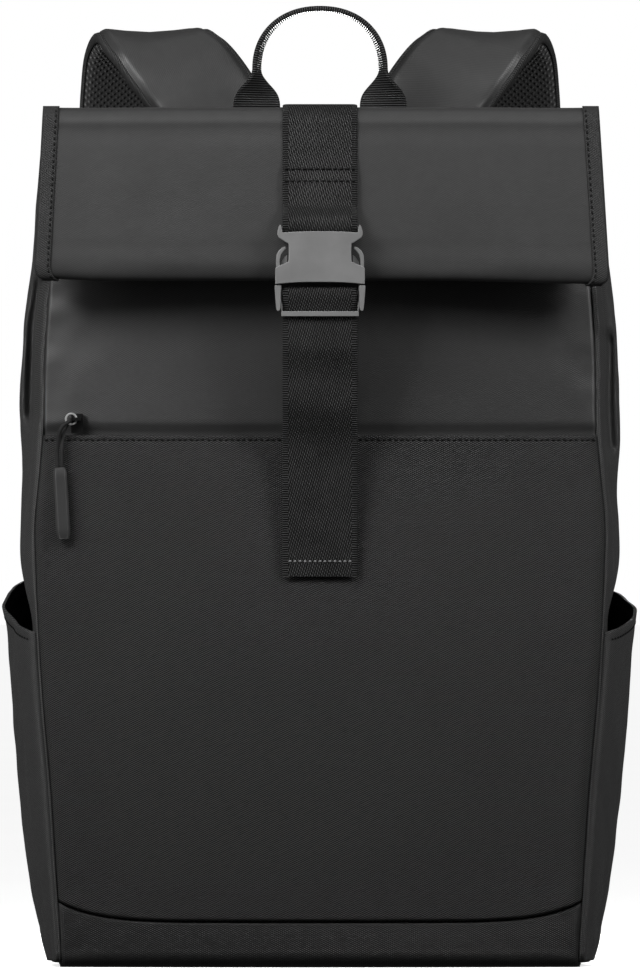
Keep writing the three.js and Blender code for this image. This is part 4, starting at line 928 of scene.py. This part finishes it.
def strap_upper():
    off = GAP + WEBBING_THICKNESS / 2
    lift = WEBBING_THICKNESS + GAP
    bar_y, bar_z = UPPER_BAR
    points = [(48, 430 + off), (10, 430 + off), (-30, 430 + off)]
    points += arc(-57, 421, ROLL_CORNER + off, 90, 180, 8)
    points += [(roll_face_y(z) - off, z) for z in (412, 406)]
    points += [(roll_face_y(z) - off - lift, z) for z in (396, 388, 381)]
    points += [(bar_y - LOOP_RADIUS, bar_z + 2 * LOOP_RADIUS)]
    points += arc(bar_y, bar_z, LOOP_RADIUS, 180, 360, 8)
    points += [(bar_y + LOOP_RADIUS, bar_z + LOOP_RADIUS), (roll_face_y(381) - off, 381), (roll_face_y(392) - off, 392)]
    line = smooth_path(points, 1.0)
    piece = webbing_strip("strap_upper_webbing", along_yz(line), WEBBING_WIDTH, WEBBING_THICKNESS, upper_webbing)
    finish_piece(piece, "webbing", "strap_upper")
    for k, z in enumerate((399.4, 393.3)):
        across = np.linspace(-18.2, 18.2, 60)
        y = roll_face_y(z) - off - lift * smooth((406 - z) / 8) - WEBBING_THICKNESS / 2 - 0.05
        line = np.stack([across, np.full_like(across, y), np.full_like(across, z)], 1)
        row = stitches(f"strap_upper_stitches_{k}", line, (0, -1, 0.2), black_thread, length=2.2, gap=0.6, radius=0.6)
        finish_piece(row, "webbing")


def tail_line():
    bar_y, bar_z = LOWER_BAR
    off = GAP + WEBBING_THICKNESS / 2
    behind = BUCKLE_MIDDLE + 3.5 - 7 + 2.6 + GAP + WEBBING_THICKNESS / 2
    anchor = front_y(274.0) - off
    back = bar_y + LOOP_RADIUS
    hang = float(pocket_face(np.array(0.0), np.array(TAIL_END))) - 1.6 - WEBBING_THICKNESS / 2
    points = [
        (anchor, 274.0), (front_y(282.0) - off, 282.0), (lerp(anchor, back, 0.45), 304.9),
        (lerp(anchor, back, 0.9), 320.9), (back, 328.1),
    ]
    points += arc(bar_y, bar_z, LOOP_RADIUS, 0, 180, 10)
    points += [
        (behind - 0.8, 330.7), (behind, 328.1), (behind, FRAME_FOOT), (behind - 1.0, 317.0), (behind - 0.9, 310.0),
        (behind + 2.2, 302.0), (behind + 4.2, 295.5), (behind + 4.6, 288.0), (behind + 5.6, 281.0),
        (behind + 9.4, 273.0), (lerp(behind, hang, 0.88), 264.0), (lerp(behind, hang, 0.97), 255.0), (hang, 240.0),
        (hang + 0.2, 215.0), (hang, TAIL_END),
    ]
    return smooth_path(points, 1.0)


def strap_lower():
    line = tail_line()
    piece = webbing_strip("strap_lower_webbing", along_yz(line), WEBBING_WIDTH, WEBBING_THICKNESS, webbing)
    finish_piece(piece, "webbing", "strap_lower")
    across = np.linspace(-16.2, 16.2, 60)
    y = float(np.interp(-(TAIL_END + 7.6), -line[:, 1][-40:], line[:, 0][-40:])) - WEBBING_THICKNESS / 2 - 0.05
    seam = np.stack([across, np.full_like(across, y), np.full_like(across, TAIL_END + 7.6)], 1)
    row = stitches("strap_lower_stitches", seam, (0, -1, 0.1), hem_thread, length=1.6, gap=0.8, radius=0.5)
    finish_piece(row, "webbing")


def grab_handle():
    radius = 63.8 / 2
    top = 483 - 1.3
    rise = top - 451
    stations, across = [], []
    for k in np.linspace(0, 1, 14)[:-1]:
        angle = (math.pi / 2 - 0.1) * float(smooth(k))
        stations.append((-radius, HANDLE_Y, lerp(430.3, 451, k)))
        across.append((math.cos(angle), math.sin(angle), 0))
    for angle in np.linspace(math.pi, 0, 60):
        out = math.copysign(abs(math.cos(angle)) ** 0.92, math.cos(angle))
        stations.append((radius * out, HANDLE_Y, 451 + rise * math.sin(angle) ** 0.92))
        across.append((-0.1 * math.cos(angle), 1, 0))
    for k in np.linspace(1, 0, 14)[1:]:
        angle = (math.pi / 2 - 0.1) * float(smooth(k))
        stations.append((radius, HANDLE_Y, lerp(430.3, 451, k)))
        across.append((-math.cos(angle), math.sin(angle), 0))
    outline = flat_outline(HANDLE_WIDTH, 2.6)
    piece = sweep("grab_handle_webbing", stations, across, outline, handle_webbing)
    finish_piece(piece, "webbing", "grab_handle")


STRAP_RUN = [
    (0.3, 0.0, 0.0), (0.31, 0.012, 0.16), (0.335, 0.03, 0.32), (0.365, 0.08, 0.48), (0.415, 0.15, 0.66),
    (0.485, 0.26, 0.84), (0.545, 0.42, 0.96), (0.588, 0.62, 1.0), (0.618, 0.84, 0.88), (0.632, 0.96, 0.62),
    (0.638, 1.0, 0.3),
]
STRAP_FALL = [
    (0.642, 1.0, 0.1), (0.648, 0.95, 0.35), (0.658, 0.86, 0.6), (0.67, 0.74, 0.82), (0.675, 0.64, 1.0),
]


def strap_places(side):
    near = BACK_Y + GAP + STRAP_PADDING / 2
    rows = [(side * a * HALF_WIDTH, near + o * 52, lerp(398, 465.0, u)) for a, o, u in STRAP_RUN]
    rows += [(side * a * HALF_WIDTH, near + o * 52, lerp(398, 172, d)) for a, o, d in STRAP_FALL]
    return np.array(rows)


def padded_outline(width, thickness):
    half = width / 2
    angles = np.linspace(0, 2 * math.pi, 56, endpoint=False)
    across = half * np.sign(np.cos(angles)) * np.abs(np.cos(angles)) ** 0.35
    out = thickness / 2 * np.sign(np.sin(angles)) * np.abs(np.sin(angles)) ** 0.5
    pinch = 1 - 0.55 * smooth((np.abs(across) - half + 5) / 4)
    return np.stack([across, out * pinch], 1)[::-1]


def shoulder_strap(side, ending):
    places = strap_places(side)
    line = smooth_path(places, 2.5)
    outline = padded_outline(STRAP_WIDTH, STRAP_PADDING)
    piece = sweep(f"shoulder_pad_{ending}", line, (1, 0, 0), outline, [flap_cloth, air_mesh])
    normals = outline[:, 1]
    ring = len(outline)
    inner = [normals[k] + normals[(k + 1) % ring] > 0.2 for k in range(ring)]
    count = (len(line) - 1) * ring
    flags = [1 if inner[k % ring] else 0 for k in range(count)] + [0, 0]
    piece.data.polygons.foreach_set("material_index", flags)
    finish_piece(piece, "coated_cloth", f"shoulder_strap_{ending}")
    turn = np.linspace(0, 2 * math.pi, 12, endpoint=False)[::-1]
    for edge in (-1, 1):
        tape = np.stack([edge * (STRAP_WIDTH / 2 - 1.3) + 1.5 * np.cos(turn), 3.0 * np.sin(turn)], 1)
        band = sweep(f"shoulder_binding_{ending}_{(edge + 1) // 2}", line[2:-2], (1, 0, 0), tape, binding_cloth)
        finish_piece(band, "binding")
    end = places[-1]
    lean = unit(end - places[-2])
    start = np.array([side * 112.0, BACK_Y + GAP + WEBBING_THICKNESS, 40.0])
    finish = end + lean * (3 * GAP + 26 + WEBBING_THICKNESS)
    rows = [(0, 0), (0.12, 0), (0.35, 0.3), (0.7, 0.8), (1, 1)]
    low = [(lerp(start[0], finish[0], u), lerp(start[1], finish[1], o), lerp(start[2], finish[2], u)) for u, o in rows]
    strip = sweep(f"lower_webbing_{ending}", smooth_path(low, 2.0), (1, 0, 0), flat_outline(25, 1.5), strap_webbing)
    finish_piece(strip, "webbing", f"lower_strap_{ending}")


# The zip pull


def zip_pull():
    face = lambda x, z: float(pocket_face(np.array(float(x)), np.array(float(z))))
    ring_y = face(-124.5, POCKET_TOP) - 3.1
    x = -124.5
    top = np.array([-130.2, face(-124.7, 250.5) - 2.8, 250.5])
    end = np.array([-128.2, face(-124.7, 214.5) - 2.8, 214.5])
    cut = [(-3.5, 1.25), (-3.5, -1.25), (-2.3, -2.5), (2.3, -2.5), (3.5, -1.25), (3.5, 1.25), (2.3, 2.5), (-2.3, 2.5)]
    shares = np.linspace(0, 1, 14)
    line = np.array([lerp(top, end, t) for t in shares])
    scale = 1 - 0.22 * edge_roll(shares * 36, 1.2)[:, None, None] - 0.22 * edge_roll((1 - shares) * 36, 1.2)[:, None, None]
    outline = np.array(cut)[::-1][None] * scale
    piece = sweep("pull_sleeve_moulding", line, (1, 0, 0), outline, sleeve_rubber, sharp=25)
    bevel = piece.modifiers.new("edges", "BEVEL")
    bevel.width = 0.35 * MM
    bevel.segments = 2
    finish_piece(piece, "sleeve_rubber", "pull_sleeve")
    clear = 1.8
    part = 1.15
    run = [
        (top[0] - part, top[1], top[2] - 3), (top[0] - part, lerp(top[1], ring_y, 0.5), lerp(top[2], 274.5, 0.45)),
        (x - 4.4, ring_y - clear, 270.5), (x - 0.8, ring_y - clear, 273.6), (x - 0.3, ring_y, 274.2),
        (x - 0.8, ring_y + clear, 273.6), (x - 3.2, ring_y + clear, 269.7),
        (top[0] + part, lerp(top[1], ring_y, 0.3), lerp(top[2], 274.5, 0.4)), (top[0] + part, top[1], top[2] - 3),
    ]
    angles = np.linspace(0, 2 * math.pi, 12, endpoint=False)[::-1]
    round_outline = np.stack([np.cos(angles), np.sin(angles)], 1)
    cord = sweep("pull_cord_loop", smooth_path(run, 0.7), (1, 0, 0), round_outline, cord_cloth)
    finish_piece(cord, "webbing", "pull_cord")


def mirrored(right):
    """A closed outline from its right half, which is listed upwards."""
    return list(right) + [(-x, z) for x, z in reversed(right)]


def plates(name, parts, material, rounding):
    """Flat mouldings as one mesh: outlines of (x, z) points, each between a front and a back depth."""
    points, faces = [], []
    for outline, front, back in parts:
        base, count = len(points), len(outline)
        points += [(x, front, z) for x, z in outline] + [(x, back, z) for x, z in outline]
        faces.append([base + k for k in range(count)])
        faces.append([base + count + k for k in reversed(range(count))])
        for k in range(count):
            after = (k + 1) % count
            faces.append([base + k, base + k + count, base + after + count, base + after])
    piece = make_mesh(name, points, faces, material, sharp=30)
    bevel = piece.modifiers.new("edges", "BEVEL")
    bevel.width = rounding * MM
    bevel.segments = 2
    bevel.limit_method = "ANGLE"
    bevel.angle_limit = math.radians(25)
    bevel.harden_normals = True
    return piece


HOUSING_FACE = [
    (6, 342.7), (12, 342.5), (18, 342.1), (22.3, 341.6), (22.4, 345.5), (22.3, 349.8), (20.9, 350.7),
    (15.8, 352.9), (15.6, 357), (15.7, 361.9), (16.6, 362.3), (20.7, 364.9), (21.3, 366.3), (21.2, 368.2),
    (20.6, 370.4), (19.9, 371.6), (19.3, 370.6), (18.9, 367.5), (12, 367.9), (6, 368.1),
]
HOUSING_CORE = [(21.6, 343.6), (21.6, 349.6), (15.0, 352.4), (15.0, 362.2), (18.6, 364.4), (18.6, 365.6)]
HOUSING_EAR = [(18.9, 364.2), (20.6, 365), (21, 366.5), (20.6, 370), (19.8, 371.2), (18.9, 369)]
SPRING_ARM = [
    (20.1, 350.0), (21.9, 349.6), (22.0, 353), (21.8, 356.2), (20.7, 358.4), (19, 359.9), (17.3, 360.6),
    (16.8, 359.6), (18.2, 358.3), (19.5, 356.4), (20.1, 354),
]
SPRING_GUIDE = [(16.2, 351.8), (19.6, 350.6), (19.5, 352.6), (17.6, 355.4), (16.2, 356.4)]
LEG = [
    (19.7, 330), (20.1, 328.6), (20.9, 328.1), (21.6, 328.6), (21.9, 330), (22.3, 335), (22.7, 341.1),
    (19.5, 341.1),
]


def both_sides(outline, front, back):
    return [(outline, front, back), ([(-x, z) for x, z in reversed(outline)], front, back)]


def buckle():
    """The side-release buckle, fastened: the housing above and the prong frame below."""
    parts = [(mirrored(HOUSING_FACE), BUCKLE_FRONT + 0.2, -87.4), (mirrored(HOUSING_CORE), -87.6, -80.9)]
    parts += both_sides(HOUSING_EAR, -87.6, -80.5)
    parts.append((mirrored([(19.2, 368.2), (19.2, 370.6)]), -83.0, -80.6))
    housing = plates("buckle_housing_moulding", parts, buckle_plastic, 0.4)
    finish_piece(housing, "buckle_plastic", "buckle_housing")
    parts = both_sides(LEG, -89.6, -83.5) + both_sides(SPRING_ARM, -88.6, -83.5)
    parts += both_sides(SPRING_GUIDE, -86.6, -84.0)
    parts.append((mirrored([(19.3, 325.6), (19.4, 326.9), (19.2, 328.2)]), -89.2, -86.4))
    parts += both_sides([(18.6, 326.2), (19.3, 326.4), (20.9, 341.5), (19.3, 341.5)], -86.9, -82.6)
    parts.append((mirrored([(19.2, 336.1), (19.2, 338.5)]), -86.9, -84.5))
    prongs = plates("buckle_prong_moulding", parts, buckle_plastic, 0.35)
    finish_piece(prongs, "buckle_plastic", "buckle_prong_frame")


def dress(node, material, slot):
    """Gives a rigid CAD node its finish and rounds its edges."""
    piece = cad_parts[node]
    piece.data.materials.clear()
    piece.data.materials.append(material)
    bevel = piece.modifiers.new("edges", "BEVEL")
    bevel.width = 0.35 * MM
    bevel.segments = 2
    bevel.limit_method = "ANGLE"
    bevel.angle_limit = math.radians(35)


front_panel()
front_pocket()
zip_tape()
base_panel()
back_panel()
for side, ending in ((-1, "left"), (1, "right")):
    side_gusset(side, ending)
    side_pocket(side, ending)
    roll_binding(side, ending)
    shoulder_strap(side, ending)
    dress(f"strap_adjuster_{ending}", buckle_plastic, "buckle_plastic")
roll_top()
strap_upper()
strap_lower()
grab_handle()
zip_pull()
buckle()
dress("zip_slider", slider_metal, "slider_metal")
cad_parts["pull_ring"].data.materials.clear()
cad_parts["pull_ring"].data.materials.append(ring_steel)
